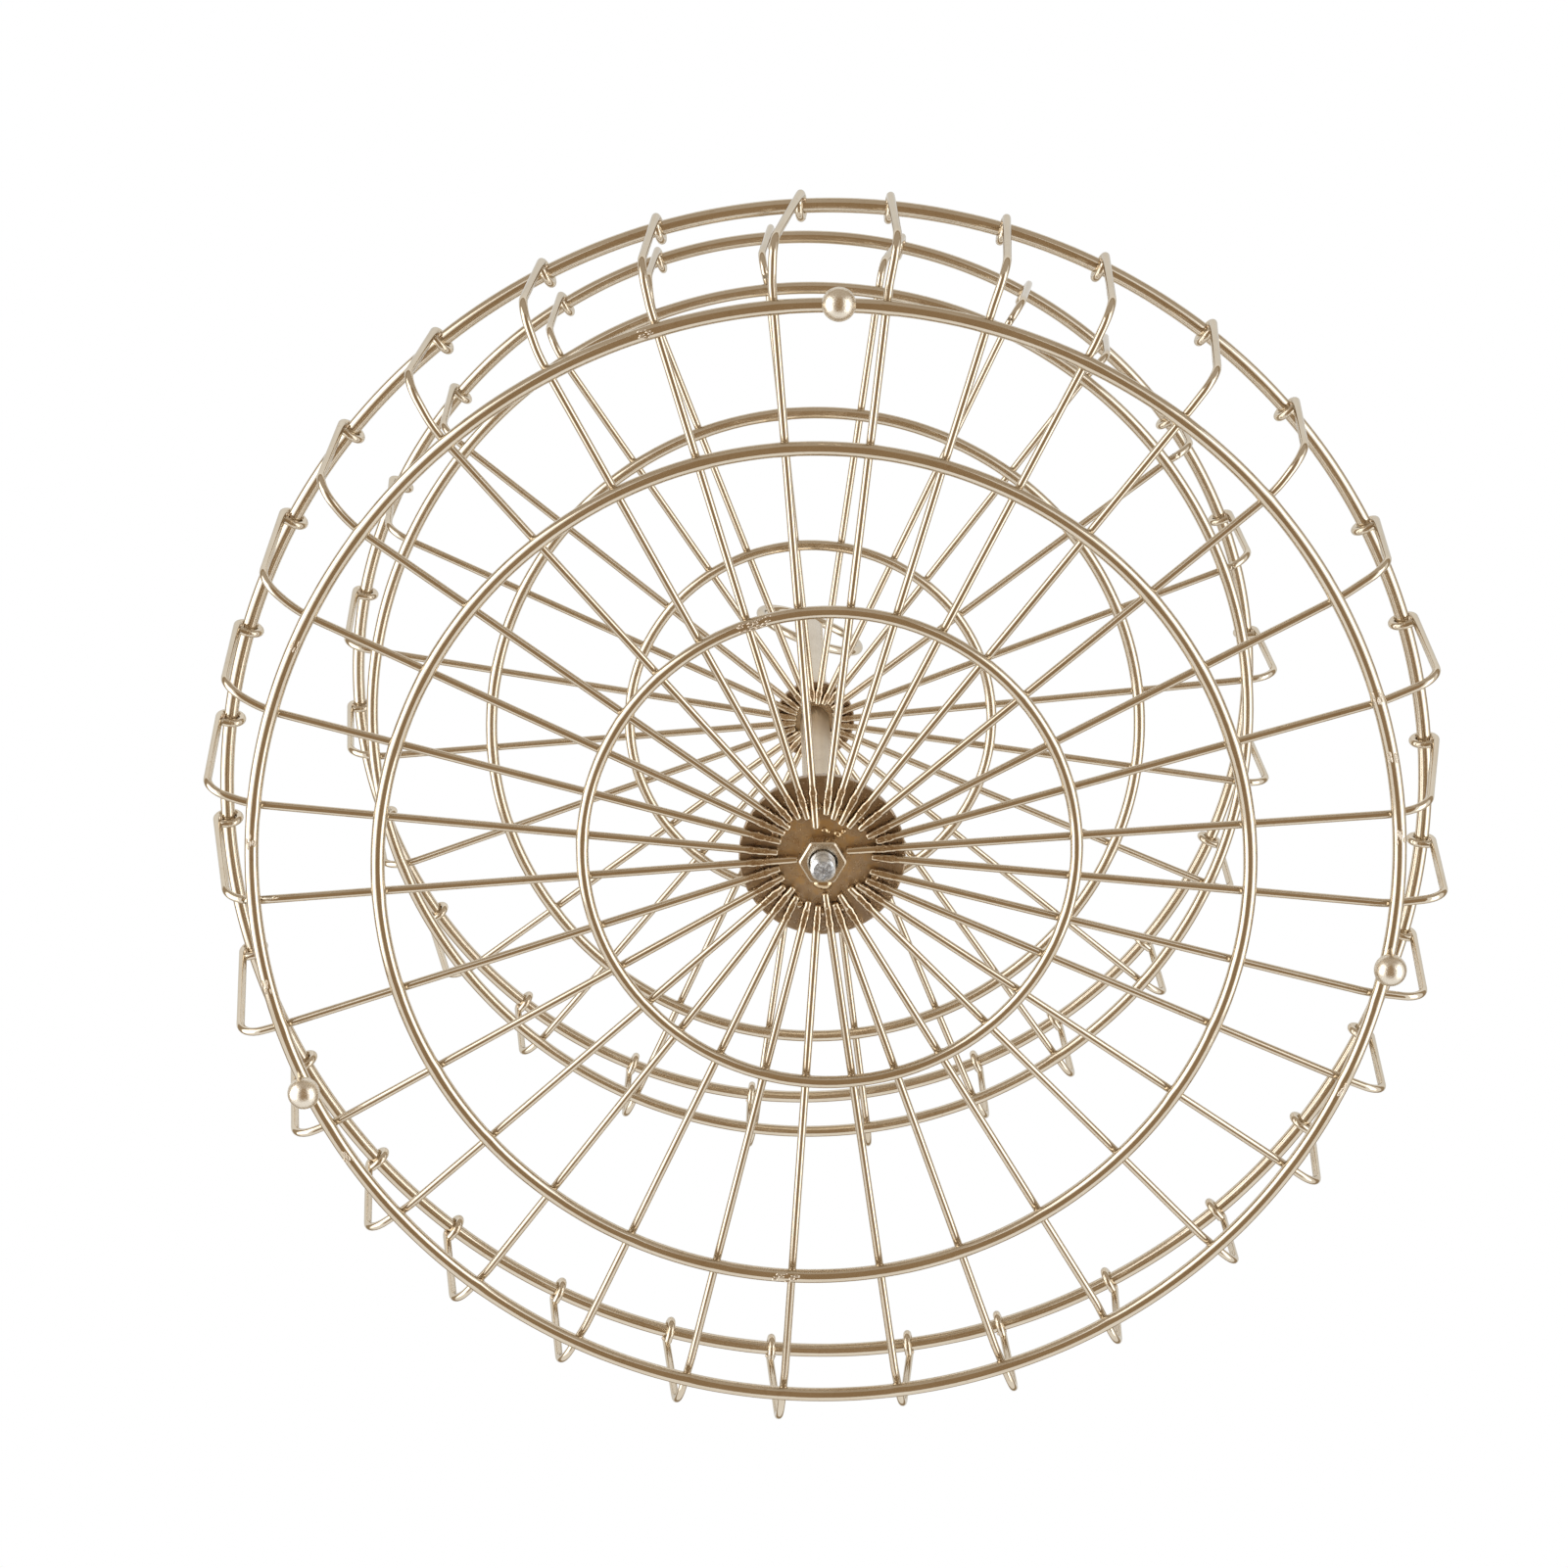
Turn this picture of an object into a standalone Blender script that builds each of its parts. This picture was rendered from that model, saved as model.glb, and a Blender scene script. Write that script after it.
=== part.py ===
"""Two-tier wire fruit basket: two welded wire trays on a central post, with a ring handle.

Metres, +Z up. The origin is on the post's axis, on the surface that the feet stand on.
+X is the axis that the ring handle swings about.
"""
import math

import bmesh
import bpy
from mathutils import Matrix, Vector

# Clearances
FIT_GAP = 0.0003            # between pieces that touch
HOOK_GAP = 0.0005           # between a rib's hook and the rim inside it
BORE_PLAY = 0.0003          # round a rod in its bore, each side
OVERRUN = 0.002             # how far a cutter passes the face that it cuts

# Ball feet
FOOT_RADIUS = 0.0039
FOOT_FLAT_RADIUS = 0.0012   # the flat that each ball stands on
FOOT_SINK = 0.0008          # how deep the outer floor ring sits in the ball
FOOT_BEARINGS_DEG = (137.5, 251.0, 349.0)

# Wires, by diameter
RIB_WIRE = 0.0020
RIM_WIRE = 0.0035
LOWER_RING_WIRE = 0.0034
LOWER_INNER_RING_WIRE = 0.0030
UPPER_RING_WIRE = 0.0032
UPPER_INNER_RING_WIRE = 0.0028

# Lower tier, with its floor rings' radii as shares of the rim's
LOWER_RIM_RADIUS = 0.1500
LOWER_RING_SHARES = (0.392, 0.693, 0.911)
LOWER_WALL_RISE = 0.0382    # from the top of the floor rings to the middle of the rim
LOWER_HUB_RADIUS = 0.0200

# Upper tier
UPPER_RIM_RADIUS = 0.1288
UPPER_RING_SHARES = (0.389, 0.697, 0.941)
UPPER_WALL_RISE = 0.0390
UPPER_HUB_RADIUS = 0.0110

# Both tiers
TIER_SPACING = 0.1200       # between the tops of the two tiers' floor rings
HUB_THICKNESS = 0.0025
HUB_EDGE = 0.0004           # rounding of a hub disc's edge
BEND_RADIUS = 0.0046        # where a rib turns up into the wall
HOOK_TAIL = 0.0024          # straight end of a hook, down inside the rim

# The rings are welded by hand, a little off centre: shares of each ring's radius
LOWER_RING_SHIFT_SHARES = ((0.015, -0.041), (-0.002, 0.050), (0.018, 0.032))
UPPER_RING_SHIFT_SHARES = ((-0.026, 0.000), (0.013, 0.030), (-0.007, 0.012))
LOWER_RIM_SHIFT_SHARES = (0.011, -0.003)
UPPER_RIM_SHIFT_SHARES = (-0.021, 0.006)

# The ribs are set by hand too: whole-degree bearings, anticlockwise seen from above
LOWER_RIB_BEARINGS_DEG = (
    15, 26, 40, 51, 62, 74, 84, 96, 108, 119, 131, 143, 156, 166, 176, 187,
    197, 209, 222, 233, 245, 256, 266, 276, 288, 299, 312, 323, 335, 344, 354, 364,
)
UPPER_RIB_BEARINGS_DEG = (
    3, 19, 35, 49, 64, 79, 94, 109, 124, 140, 156, 170,
    185, 200, 215, 229, 244, 259, 274, 288, 303, 319, 334, 349,
)
NUT_RIB_BEARINGS_DEG = (156, 335)   # the two ribs that run in as far as the nut

# Each rib's leg leans along the rim, to a hook that has its own bearing from the rim's centre
LOWER_HOOK_BEARINGS_DEG = (
    14.5, 27, 40, 52, 61.5, 75.5, 86, 98, 110.5, 121, 133.5, 146, 159.5, 169.5, 178.5, 190,
    200, 212, 223.5, 234.5, 247.5, 255.5, 266, 275.5, 287, 297.5, 311, 321, 333, 343, 352.5, 363.5,
)
UPPER_HOOK_BEARINGS_DEG = (
    1.5, 18, 34, 46, 63, 77, 93.5, 110.5, 127.5, 142.5, 157.5, 172.5,
    187.5, 201.5, 219, 232, 246, 262, 278.5, 290, 303, 317.5, 333, 347.5,
)

# How far out each rib's floor reaches before it turns up, as shares of the rim's radius
LOWER_CORNER_SHARES = (
    1.0, 0.995, 1.0, 1.01, 0.99, 1.01, 1.005, 1.0, 0.995, 0.995, 0.985, 0.985, 0.95, 0.98, 0.98,
    0.98, 0.985, 0.995, 0.99, 0.985, 0.985, 0.985, 0.985, 0.985, 0.985, 0.985, 0.99, 1.005, 0.965,
    1.0, 1.005, 1.005,
)
UPPER_CORNER_SHARES = (
    0.99, 0.995, 1.005, 1.005, 1.0, 1.005, 1.015, 1.005, 1.0, 1.0, 1.005, 1.015,
    1.0, 1.0, 0.995, 0.99, 0.99, 0.99, 0.985, 0.985, 0.985, 0.985, 0.99, 0.985,
)

# Every other rib starts at this share of the hub's radius, the rest where their neighbours allow
LOWER_LONG_RIB_SHARE = 0.53
UPPER_LONG_RIB_SHARE = 0.56
WELD_BEAD_SHARE = 0.95      # radius of the bead that joins two lower ribs, to the rib's

# Post, tie rod and nut
POST_RADIUS = 0.0040
UPPER_POST_LENGTH = 0.1018
UPPER_POST_BORE_DEPTH = 0.0220
POST_TIP_EDGE = 0.0006      # rounding of the post's upper end
ROD_RADIUS = 0.0030
ROD_TIP_EDGE = 0.0005
ROD_OVERHANG = 0.0060       # below the nut
ROD_END_ROOM = 0.0020       # above the rod, in the upper post's bore
NUT_WIDTH = 0.0100          # across flats
NUT_HEIGHT = 0.0050
NUT_CHAMFER = 0.0003
NUT_TURN_DEG = 10.0         # from having a corner on +Y

# Ring handle
HANDLE_RADIUS = 0.0162      # to the middle of the wire
HANDLE_WIRE = 0.0028
HANDLE_DROP = 0.0162        # from the post's tip down to the handle's hole

# Finishes: colour, roughness, metallic
GOLD_PAINT = ((0.62, 0.50, 0.33), 0.32, 0.9)
DARKENED_GOLD = ((0.33, 0.21, 0.09), 0.35, 0.9)
BRUSHED_GOLD = ((0.66, 0.57, 0.43), 0.38, 0.8)
BRIGHT_ZINC = ((0.78, 0.80, 0.82), 0.22, 1.0)

# Facets
WIRE_SIDES_RESOLUTION = 1   # six sides, with a flat one at the top and bottom
HANDLE_SIDES_RESOLUTION = 2
RIM_SEGMENTS = 64
RING_CHORD = 0.0160         # longest straight stretch of a floor ring
HANDLE_SEGMENTS = 28
BEND_STEPS = 2
HOOK_STEPS = 4
TURNED_STEPS = 28
ROD_STEPS = 20
BALL_STEPS = 14
BALL_RINGS = 7
BEAD_SEGMENTS = 8
BEAD_RINGS = 4
EDGE_STEPS = 2
SMOOTH_BELOW_DEG = 40       # sharper edges stay sharp in the shading
FULL_TURN_DEG = 360
MERGE = 0.00001

# Sizes and heights that follow
RIB_RADIUS = RIB_WIRE / 2
RIM_WIRE_RADIUS = RIM_WIRE / 2
FLAT_SHARE = math.cos(math.pi / 6)              # half height of a six-sided wire, to its radius
RIB_HALF = RIB_RADIUS * FLAT_SHARE
LOWER_SEAT_Z = 2 * FOOT_RADIUS - FOOT_SINK + LOWER_RING_WIRE * FLAT_SHARE
UPPER_SEAT_Z = LOWER_SEAT_Z + TIER_SPACING
RIB_RISE = FIT_GAP + RIB_HALF                   # from a tier's seat to the middle of its ribs
HUB_RISE = RIB_RISE + RIB_HALF + FIT_GAP        # from a tier's seat to the hub's underside
LOWER_HUB_Z = LOWER_SEAT_Z + HUB_RISE
UPPER_HUB_Z = UPPER_SEAT_Z + HUB_RISE
LOWER_POST_Z = LOWER_HUB_Z + HUB_THICKNESS + FIT_GAP
UPPER_POST_Z = UPPER_HUB_Z + HUB_THICKNESS + FIT_GAP
POST_TIP_Z = UPPER_POST_Z + UPPER_POST_LENGTH
HANDLE_Z = POST_TIP_Z - HANDLE_DROP
NUT_TOP_Z = LOWER_HUB_Z - FIT_GAP
ROD_BOTTOM_Z = NUT_TOP_Z - NUT_HEIGHT - ROD_OVERHANG
ROD_TOP_Z = UPPER_POST_Z + UPPER_POST_BORE_DEPTH - ROD_END_ROOM
BORE_RADIUS = ROD_RADIUS + BORE_PLAY
NUT_CORNER_RADIUS = NUT_WIDTH / 2 / math.cos(math.pi / 6)
HANDLE_WIRE_RADIUS = HANDLE_WIRE / 2
LOWER_OUTER_RING_RADIUS = LOWER_RIM_RADIUS * LOWER_RING_SHARES[-1]
# The hole lets the handle's curved wire through at every angle
HANDLE_SAGITTA = HANDLE_RADIUS - math.sqrt(HANDLE_RADIUS ** 2 - POST_RADIUS ** 2)
HANDLE_HOLE_RADIUS = HANDLE_WIRE_RADIUS + HANDLE_SAGITTA + BORE_PLAY


def clear_scene():
    for item in list(bpy.data.objects):
        bpy.data.objects.remove(item, do_unlink=True)


def new_collection(name):
    group = bpy.data.collections.new(name)
    bpy.context.scene.collection.children.link(group)
    return group


def make_material(name, finish):
    colour, roughness, metallic = finish
    material = bpy.data.materials.new(name)
    material.use_nodes = True
    shader = material.node_tree.nodes["Principled BSDF"]
    shader.inputs["Base Color"].default_value = (*colour, 1.0)
    shader.inputs["Roughness"].default_value = roughness
    shader.inputs["Metallic"].default_value = metallic
    return material


def add_object(name, data, group, finish=None):
    item = bpy.data.objects.new(name, data)
    group.objects.link(item)
    if finish:
        data.materials.append(make_material("finish of " + name, finish))
    return item


def hide_cutter(item):
    item.hide_render = True
    item.display_type = "WIRE"


def wire_curve(name, points, radius, resolution, closed=False):
    curve = bpy.data.curves.new(name, "CURVE")
    curve.dimensions = "3D"
    curve.bevel_depth = radius
    curve.bevel_resolution = resolution
    curve.use_fill_caps = not closed
    spline = curve.splines.new("POLY")
    spline.points.add(len(points) - 1)
    for slot, (x, y, z) in zip(spline.points, points):
        slot.co = (x, y, z, 1.0)
    spline.use_cyclic_u = closed
    spline.use_smooth = True
    return curve


def evaluated_mesh(item):
    """The object's shape with its modifiers, as a closed mesh in place of the object."""
    graph = bpy.context.evaluated_depsgraph_get()
    mesh = bpy.data.meshes.new_from_object(item.evaluated_get(graph))
    mesh.name = item.name
    shape = bmesh.new()
    shape.from_mesh(mesh)
    bmesh.ops.remove_doubles(shape, verts=shape.verts, dist=MERGE)
    shape.to_mesh(mesh)
    shape.free()
    mesh.shade_smooth()
    mesh.set_sharp_from_angle(angle=math.radians(SMOOTH_BELOW_DEG))
    bpy.data.objects.remove(item, do_unlink=True)
    return mesh


def mesh_of_curve(curve):
    return evaluated_mesh(add_object(curve.name, curve, bpy.context.scene.collection))


def turned(name, profile, steps, group, finish=None):
    """A solid turned about Z from (radius, height) points that run down its outer side."""
    outline = bpy.data.meshes.new(name)
    shape = bmesh.new()
    verts = [shape.verts.new((radius, 0, height)) for radius, height in profile]
    for first, second in zip(verts, verts[1:]):
        shape.edges.new((first, second))
    if profile[0][0] > 0:
        shape.edges.new((verts[-1], verts[0]))
    shape.to_mesh(outline)
    shape.free()
    lathe = add_object(name, outline, group)
    screw = lathe.modifiers.new("turn", "SCREW")
    screw.axis = "Z"
    screw.steps = steps
    screw.render_steps = steps
    screw.use_merge_vertices = True
    screw.merge_threshold = MERGE
    return add_object(name, evaluated_mesh(lathe), group, finish)


def rounded_corner(radius, height, edge, start):
    """A turned outline's quarter round: edge is its radius, start the angle that it begins at."""
    points = []
    for step in range(EDGE_STEPS + 1):
        angle = start - math.pi / 2 * step / EDGE_STEPS
        points.append((radius + edge * math.cos(angle), height + edge * math.sin(angle)))
    return points


def boolean(item, cutter, operation):
    modifier = item.modifiers.new(operation.lower() + " " + cutter.name, "BOOLEAN")
    modifier.operation = operation
    modifier.solver = "EXACT"
    modifier.object = cutter


def circle_points(radius, segments):
    points = []
    for step in range(segments):
        angle = 2 * math.pi * step / segments
        points.append((radius * math.cos(angle), radius * math.sin(angle), 0))
    return points


def floor_ring_points(radius):
    quarter = math.ceil(math.pi / 2 * radius / RING_CHORD)
    return circle_points(radius, 4 * quarter)


def add_ring(name, points, wire, group):
    curve = wire_curve(name, points, wire / 2, WIRE_SIDES_RESOLUTION, closed=True)
    return add_object(name, curve, group, GOLD_PAINT)


def add_floor_rings(tier, radii, wires, shift_shares, seat_z, group):
    """Three rings whose tops carry the ribs."""
    rings = []
    for label, radius, wire, share in zip(("inner", "middle", "outer"), radii, wires, shift_shares):
        ring = add_ring(tier + "_" + label + "_floor_ring", floor_ring_points(radius), wire, group)
        ring.location = (radius * share[0], radius * share[1], seat_z - wire / 2 * FLAT_SHARE)
        rings.append(ring)
    return rings


def add_rim(tier, radius, shift_share, height, group):
    rim = add_ring(tier + "_rim_ring", circle_points(radius, RIM_SEGMENTS), RIM_WIRE, group)
    rim.location = (radius * shift_share[0], radius * shift_share[1], height)


def hook_place(rib_deg, hook_deg, rim_radius, shift_share, rim_z):
    """The rim's middle at a rib's hook and the way out there, seen with the rib along +X."""
    turn = Matrix.Rotation(-math.radians(rib_deg), 3, "Z")
    hook_bearing = math.radians(hook_deg)
    outward = Vector((math.cos(hook_bearing), math.sin(hook_bearing), 0))
    centre = Vector((rim_radius * shift_share[0], rim_radius * shift_share[1], rim_z))
    return turn @ (centre + outward * rim_radius), turn @ outward


def rib_points(start_radius, corner_radius, rib_z, place, outward):
    """A rib that runs out along +X on the floor, turns up the wall and hooks over the rim."""
    along = Vector((1, 0, 0))
    hook = RIM_WIRE_RADIUS + RIB_RADIUS + HOOK_GAP
    corner = Vector((corner_radius, 0, rib_z))
    leg = (place + outward * hook - corner).normalized()
    across = (leg - along * leg.dot(along)).normalized()
    bend = along.angle(leg)
    bend_start = corner - along * BEND_RADIUS * math.tan(bend / 2)
    points = [Vector((start_radius, 0, rib_z))]
    for step in range(BEND_STEPS + 1):
        angle = bend * step / BEND_STEPS
        points.append(bend_start + along * BEND_RADIUS * math.sin(angle)
                      + across * BEND_RADIUS * (1 - math.cos(angle)))
    lean = math.asin(leg.dot(outward))
    upward = (leg - outward * leg.dot(outward)).normalized()
    for step in range(HOOK_STEPS + 1):
        angle = (math.pi + lean) * step / HOOK_STEPS - lean
        points.append(place + outward * hook * math.cos(angle) + upward * hook * math.sin(angle))
    points.append(points[-1] - upward * HOOK_TAIL)
    return points


def free_start(bearings_deg):
    """The radius from which neighbouring ribs lie side by side with the fitting gap."""
    following = bearings_deg[1:] + (bearings_deg[0] + FULL_TURN_DEG,)
    closest = min(second - first for first, second in zip(bearings_deg, following))
    return (RIB_WIRE + FIT_GAP) / 2 / math.sin(math.radians(closest) / 2)


def lower_rib_mesh(index, start_radius):
    place, outward = hook_place(LOWER_RIB_BEARINGS_DEG[index], LOWER_HOOK_BEARINGS_DEG[index],
                                LOWER_RIM_RADIUS, LOWER_RIM_SHIFT_SHARES,
                                LOWER_SEAT_Z + LOWER_WALL_RISE)
    points = rib_points(start_radius, LOWER_RIM_RADIUS * LOWER_CORNER_SHARES[index],
                        LOWER_SEAT_Z + RIB_RISE, place, outward)
    return mesh_of_curve(wire_curve("lower rib", points, RIB_RADIUS, WIRE_SIDES_RESOLUTION))


def upper_rib_curve(name, index, start_radius):
    place, outward = hook_place(UPPER_RIB_BEARINGS_DEG[index], UPPER_HOOK_BEARINGS_DEG[index],
                                UPPER_RIM_RADIUS, UPPER_RIM_SHIFT_SHARES,
                                UPPER_SEAT_Z + UPPER_WALL_RISE)
    points = rib_points(start_radius, UPPER_RIM_RADIUS * UPPER_CORNER_SHARES[index],
                        UPPER_SEAT_Z + RIB_RISE, place, outward)
    return wire_curve(name, points, RIB_RADIUS, WIRE_SIDES_RESOLUTION)


def weld_bead(name, reach, bearing_deg, group):
    """A small ball of weld between two neighbouring ribs, under the hub disc."""
    shape = bmesh.new()
    bmesh.ops.create_uvsphere(shape, u_segments=BEAD_SEGMENTS, v_segments=BEAD_RINGS,
                              radius=RIB_RADIUS * WELD_BEAD_SHARE)
    mesh = bpy.data.meshes.new(name)
    shape.to_mesh(mesh)
    shape.free()
    bead = add_object(name, mesh, group)
    bearing = math.radians(bearing_deg)
    bead.location = (reach * math.cos(bearing), reach * math.sin(bearing), LOWER_SEAT_Z + RIB_RISE)
    bead.rotation_euler = (0, 0, bearing)
    hide_cutter(bead)
    return bead


def add_lower_rib_pairs(parts, cutters):
    """Neighbouring lower ribs, welded to each other at the hub, two and two."""
    short_start = free_start(LOWER_RIB_BEARINGS_DEG)
    for pair in range(len(LOWER_RIB_BEARINGS_DEG) // 2):
        first_deg, second_deg = LOWER_RIB_BEARINGS_DEG[2 * pair:2 * pair + 2]
        long_start = LOWER_HUB_RADIUS * LOWER_LONG_RIB_SHARE
        if first_deg in NUT_RIB_BEARINGS_DEG:
            long_start = NUT_CORNER_RADIUS + FIT_GAP
        name = "lower_rib_pair_%02d" % (pair + 1)
        first = add_object(name, lower_rib_mesh(2 * pair, long_start), parts, GOLD_PAINT)
        first.rotation_euler = (0, 0, math.radians(first_deg))
        second = add_object("second rib of " + name, lower_rib_mesh(2 * pair + 1, short_start),
                            cutters)
        second.rotation_euler = (0, 0, math.radians(second_deg))
        hide_cutter(second)
        bead = weld_bead("bead of " + name, short_start + RIB_RADIUS, (first_deg + second_deg) / 2,
                         cutters)
        boolean(first, bead, "UNION")
        boolean(first, second, "UNION")


def add_upper_ribs(parts):
    starts = (UPPER_HUB_RADIUS * UPPER_LONG_RIB_SHARE, free_start(UPPER_RIB_BEARINGS_DEG))
    for index, bearing_deg in enumerate(UPPER_RIB_BEARINGS_DEG):
        name = "upper_rib_%02d" % (index + 1)
        rib = add_object(name, upper_rib_curve(name, index, starts[index % 2]), parts, GOLD_PAINT)
        rib.rotation_euler = (0, 0, math.radians(bearing_deg))


def add_hub(name, radius, height, parts):
    outer = radius - HUB_EDGE
    profile = [(BORE_RADIUS, HUB_THICKNESS)]
    profile += rounded_corner(outer, HUB_THICKNESS - HUB_EDGE, HUB_EDGE, math.pi / 2)
    profile += rounded_corner(outer, HUB_EDGE, HUB_EDGE, 0)
    profile += [(BORE_RADIUS, 0)]
    hub = turned(name, profile, TURNED_STEPS, parts, DARKENED_GOLD)
    hub.location = (0, 0, height)


def add_lower_post(parts):
    length = UPPER_HUB_Z - FIT_GAP - LOWER_POST_Z
    profile = [(BORE_RADIUS, length), (POST_RADIUS, length), (POST_RADIUS, 0), (BORE_RADIUS, 0)]
    post = turned("lower_post_tube", profile, TURNED_STEPS, parts, BRUSHED_GOLD)
    post.location = (0, 0, LOWER_POST_Z)


def add_upper_post(parts, cutters):
    edge = POST_TIP_EDGE
    profile = [(0, UPPER_POST_LENGTH)]
    profile += rounded_corner(POST_RADIUS - edge, UPPER_POST_LENGTH - edge, edge, math.pi / 2)
    profile += [(POST_RADIUS, 0), (BORE_RADIUS, 0)]
    profile += [(BORE_RADIUS, UPPER_POST_BORE_DEPTH), (0, UPPER_POST_BORE_DEPTH)]
    post = turned("upper_post_rod", profile, TURNED_STEPS, parts, BRUSHED_GOLD)
    post.location = (0, 0, UPPER_POST_Z)
    reach = POST_RADIUS + OVERRUN
    outline = [(0, reach), (HANDLE_HOLE_RADIUS, reach), (HANDLE_HOLE_RADIUS, -reach), (0, -reach)]
    drill = turned("handle hole drill", outline, ROD_STEPS, cutters)
    drill.location = (0, 0, HANDLE_Z)
    drill.rotation_euler = (0, math.pi / 2, 0)
    hide_cutter(drill)
    boolean(post, drill, "DIFFERENCE")


def add_tie_rod(parts):
    length = ROD_TOP_Z - ROD_BOTTOM_Z
    edge = ROD_TIP_EDGE
    profile = [(0, length), (ROD_RADIUS - edge, length), (ROD_RADIUS, length - edge)]
    profile += [(ROD_RADIUS, edge), (ROD_RADIUS - edge, 0), (0, 0)]
    rod = turned("tie_rod", profile, ROD_STEPS, parts, BRIGHT_ZINC)
    rod.location = (0, 0, ROD_BOTTOM_Z)


def add_nut(parts, cutters):
    """A hexagon with its corners turned off at both ends, and a bore."""
    shape = bmesh.new()
    bmesh.ops.create_cone(shape, cap_ends=True, segments=6, radius1=NUT_CORNER_RADIUS,
                          radius2=NUT_CORNER_RADIUS, depth=NUT_HEIGHT)
    mesh = bpy.data.meshes.new("hex_nut")
    shape.to_mesh(mesh)
    shape.free()
    nut = add_object("hex_nut", mesh, parts, GOLD_PAINT)
    nut.location = (0, 0, NUT_TOP_Z - NUT_HEIGHT / 2)
    nut.rotation_euler = (0, 0, math.radians(NUT_TURN_DEG))
    half = NUT_HEIGHT / 2 + FIT_GAP
    full = NUT_CORNER_RADIUS + OVERRUN
    narrow = NUT_WIDTH / 2 - NUT_CHAMFER
    slope = (full - narrow) / 2
    outline = [(0, half), (narrow, half), (full, half - slope)]
    outline += [(full, slope - half), (narrow, -half), (0, -half)]
    chamfer = turned("nut chamfer", outline, TURNED_STEPS, cutters)
    bore_end = half + OVERRUN
    bore_outline = [(0, bore_end), (BORE_RADIUS, bore_end), (BORE_RADIUS, -bore_end), (0, -bore_end)]
    bore = turned("nut bore", bore_outline, ROD_STEPS, cutters)
    for cutter in (chamfer, bore):
        cutter.location = nut.location
        hide_cutter(cutter)
    boolean(nut, chamfer, "INTERSECT")
    boolean(nut, bore, "DIFFERENCE")


def foot_saddle(outer_ring, cutters):
    """The outer floor ring, thicker by the gap that each ball keeps to it."""
    points = floor_ring_points(LOWER_OUTER_RING_RADIUS)
    curve = wire_curve("foot saddle", points, LOWER_RING_WIRE / 2 + FIT_GAP, WIRE_SIDES_RESOLUTION,
                       closed=True)
    saddle = add_object("foot saddle", mesh_of_curve(curve), cutters)
    saddle.location = outer_ring.location
    hide_cutter(saddle)
    return saddle


def ball_profile():
    """A ball about its own centre, down its outer side to a small flat at the bottom."""
    flat_angle = math.asin(FOOT_FLAT_RADIUS / FOOT_RADIUS)
    profile = [(0, FOOT_RADIUS)]
    for step in range(1, BALL_RINGS + 1):
        angle = (math.pi - flat_angle) * step / BALL_RINGS
        profile.append((FOOT_RADIUS * math.sin(angle), FOOT_RADIUS * math.cos(angle)))
    profile.append((0, -FOOT_RADIUS * math.cos(flat_angle)))
    return profile


def add_ball_feet(outer_ring, parts, cutters):
    saddle = foot_saddle(outer_ring, cutters)
    profile = ball_profile()
    for index, bearing_deg in enumerate(FOOT_BEARINGS_DEG):
        name = "ball_foot_%d" % (index + 1)
        foot = turned(name, profile, BALL_STEPS, parts, GOLD_PAINT)
        bearing = math.radians(bearing_deg)
        foot.location = (
            outer_ring.location.x + LOWER_OUTER_RING_RADIUS * math.cos(bearing),
            outer_ring.location.y + LOWER_OUTER_RING_RADIUS * math.sin(bearing),
            -profile[-1][1],
        )
        foot.rotation_euler = (0, 0, bearing)
        boolean(foot, saddle, "DIFFERENCE")


def add_ring_handle(parts):
    """An upright ring whose lowest wire lies in the post's hole, on the axis that it swings about."""
    points = []
    for step in range(HANDLE_SEGMENTS):
        angle = 2 * math.pi * step / HANDLE_SEGMENTS - math.pi / 2
        points.append((HANDLE_RADIUS * math.cos(angle), 0, HANDLE_RADIUS * (1 + math.sin(angle))))
    curve = wire_curve("ring_handle", points, HANDLE_WIRE_RADIUS, HANDLE_SIDES_RESOLUTION, closed=True)
    handle = add_object("ring_handle", curve, parts, GOLD_PAINT)
    handle.location = (0, 0, HANDLE_Z)


def add_lower_tier(parts, cutters):
    radii = [LOWER_RIM_RADIUS * share for share in LOWER_RING_SHARES]
    wires = (LOWER_INNER_RING_WIRE, LOWER_RING_WIRE, LOWER_RING_WIRE)
    rings = add_floor_rings("lower", radii, wires, LOWER_RING_SHIFT_SHARES, LOWER_SEAT_Z, parts)
    add_rim("lower", LOWER_RIM_RADIUS, LOWER_RIM_SHIFT_SHARES, LOWER_SEAT_Z + LOWER_WALL_RISE,
            parts)
    add_ball_feet(rings[-1], parts, cutters)
    add_hub("lower_hub_disc", LOWER_HUB_RADIUS, LOWER_HUB_Z, parts)
    add_lower_rib_pairs(parts, cutters)


def add_upper_tier(parts):
    radii = [UPPER_RIM_RADIUS * share for share in UPPER_RING_SHARES]
    wires = (UPPER_INNER_RING_WIRE, UPPER_RING_WIRE, UPPER_RING_WIRE)
    add_floor_rings("upper", radii, wires, UPPER_RING_SHIFT_SHARES, UPPER_SEAT_Z, parts)
    add_rim("upper", UPPER_RIM_RADIUS, UPPER_RIM_SHIFT_SHARES, UPPER_SEAT_Z + UPPER_WALL_RISE,
            parts)
    add_hub("upper_hub_disc", UPPER_HUB_RADIUS, UPPER_HUB_Z, parts)
    add_upper_ribs(parts)


def build():
    clear_scene()
    parts = new_collection("two_tier_fruit_basket")
    cutters = new_collection("cutters")
    add_lower_tier(parts, cutters)
    add_upper_tier(parts)
    add_lower_post(parts)
    add_upper_post(parts, cutters)
    add_tie_rod(parts)
    add_nut(parts, cutters)
    add_ring_handle(parts)


build()
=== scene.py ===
"""The two-tier fruit basket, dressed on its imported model: round wires, welds, finishes, a studio.

Metres, +Z up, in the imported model's frame. The wires repeat the named sizes of the part's source.
"""
from math import asin, ceil, cos, degrees, pi, radians, sin, sqrt, tan
from types import SimpleNamespace

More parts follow.
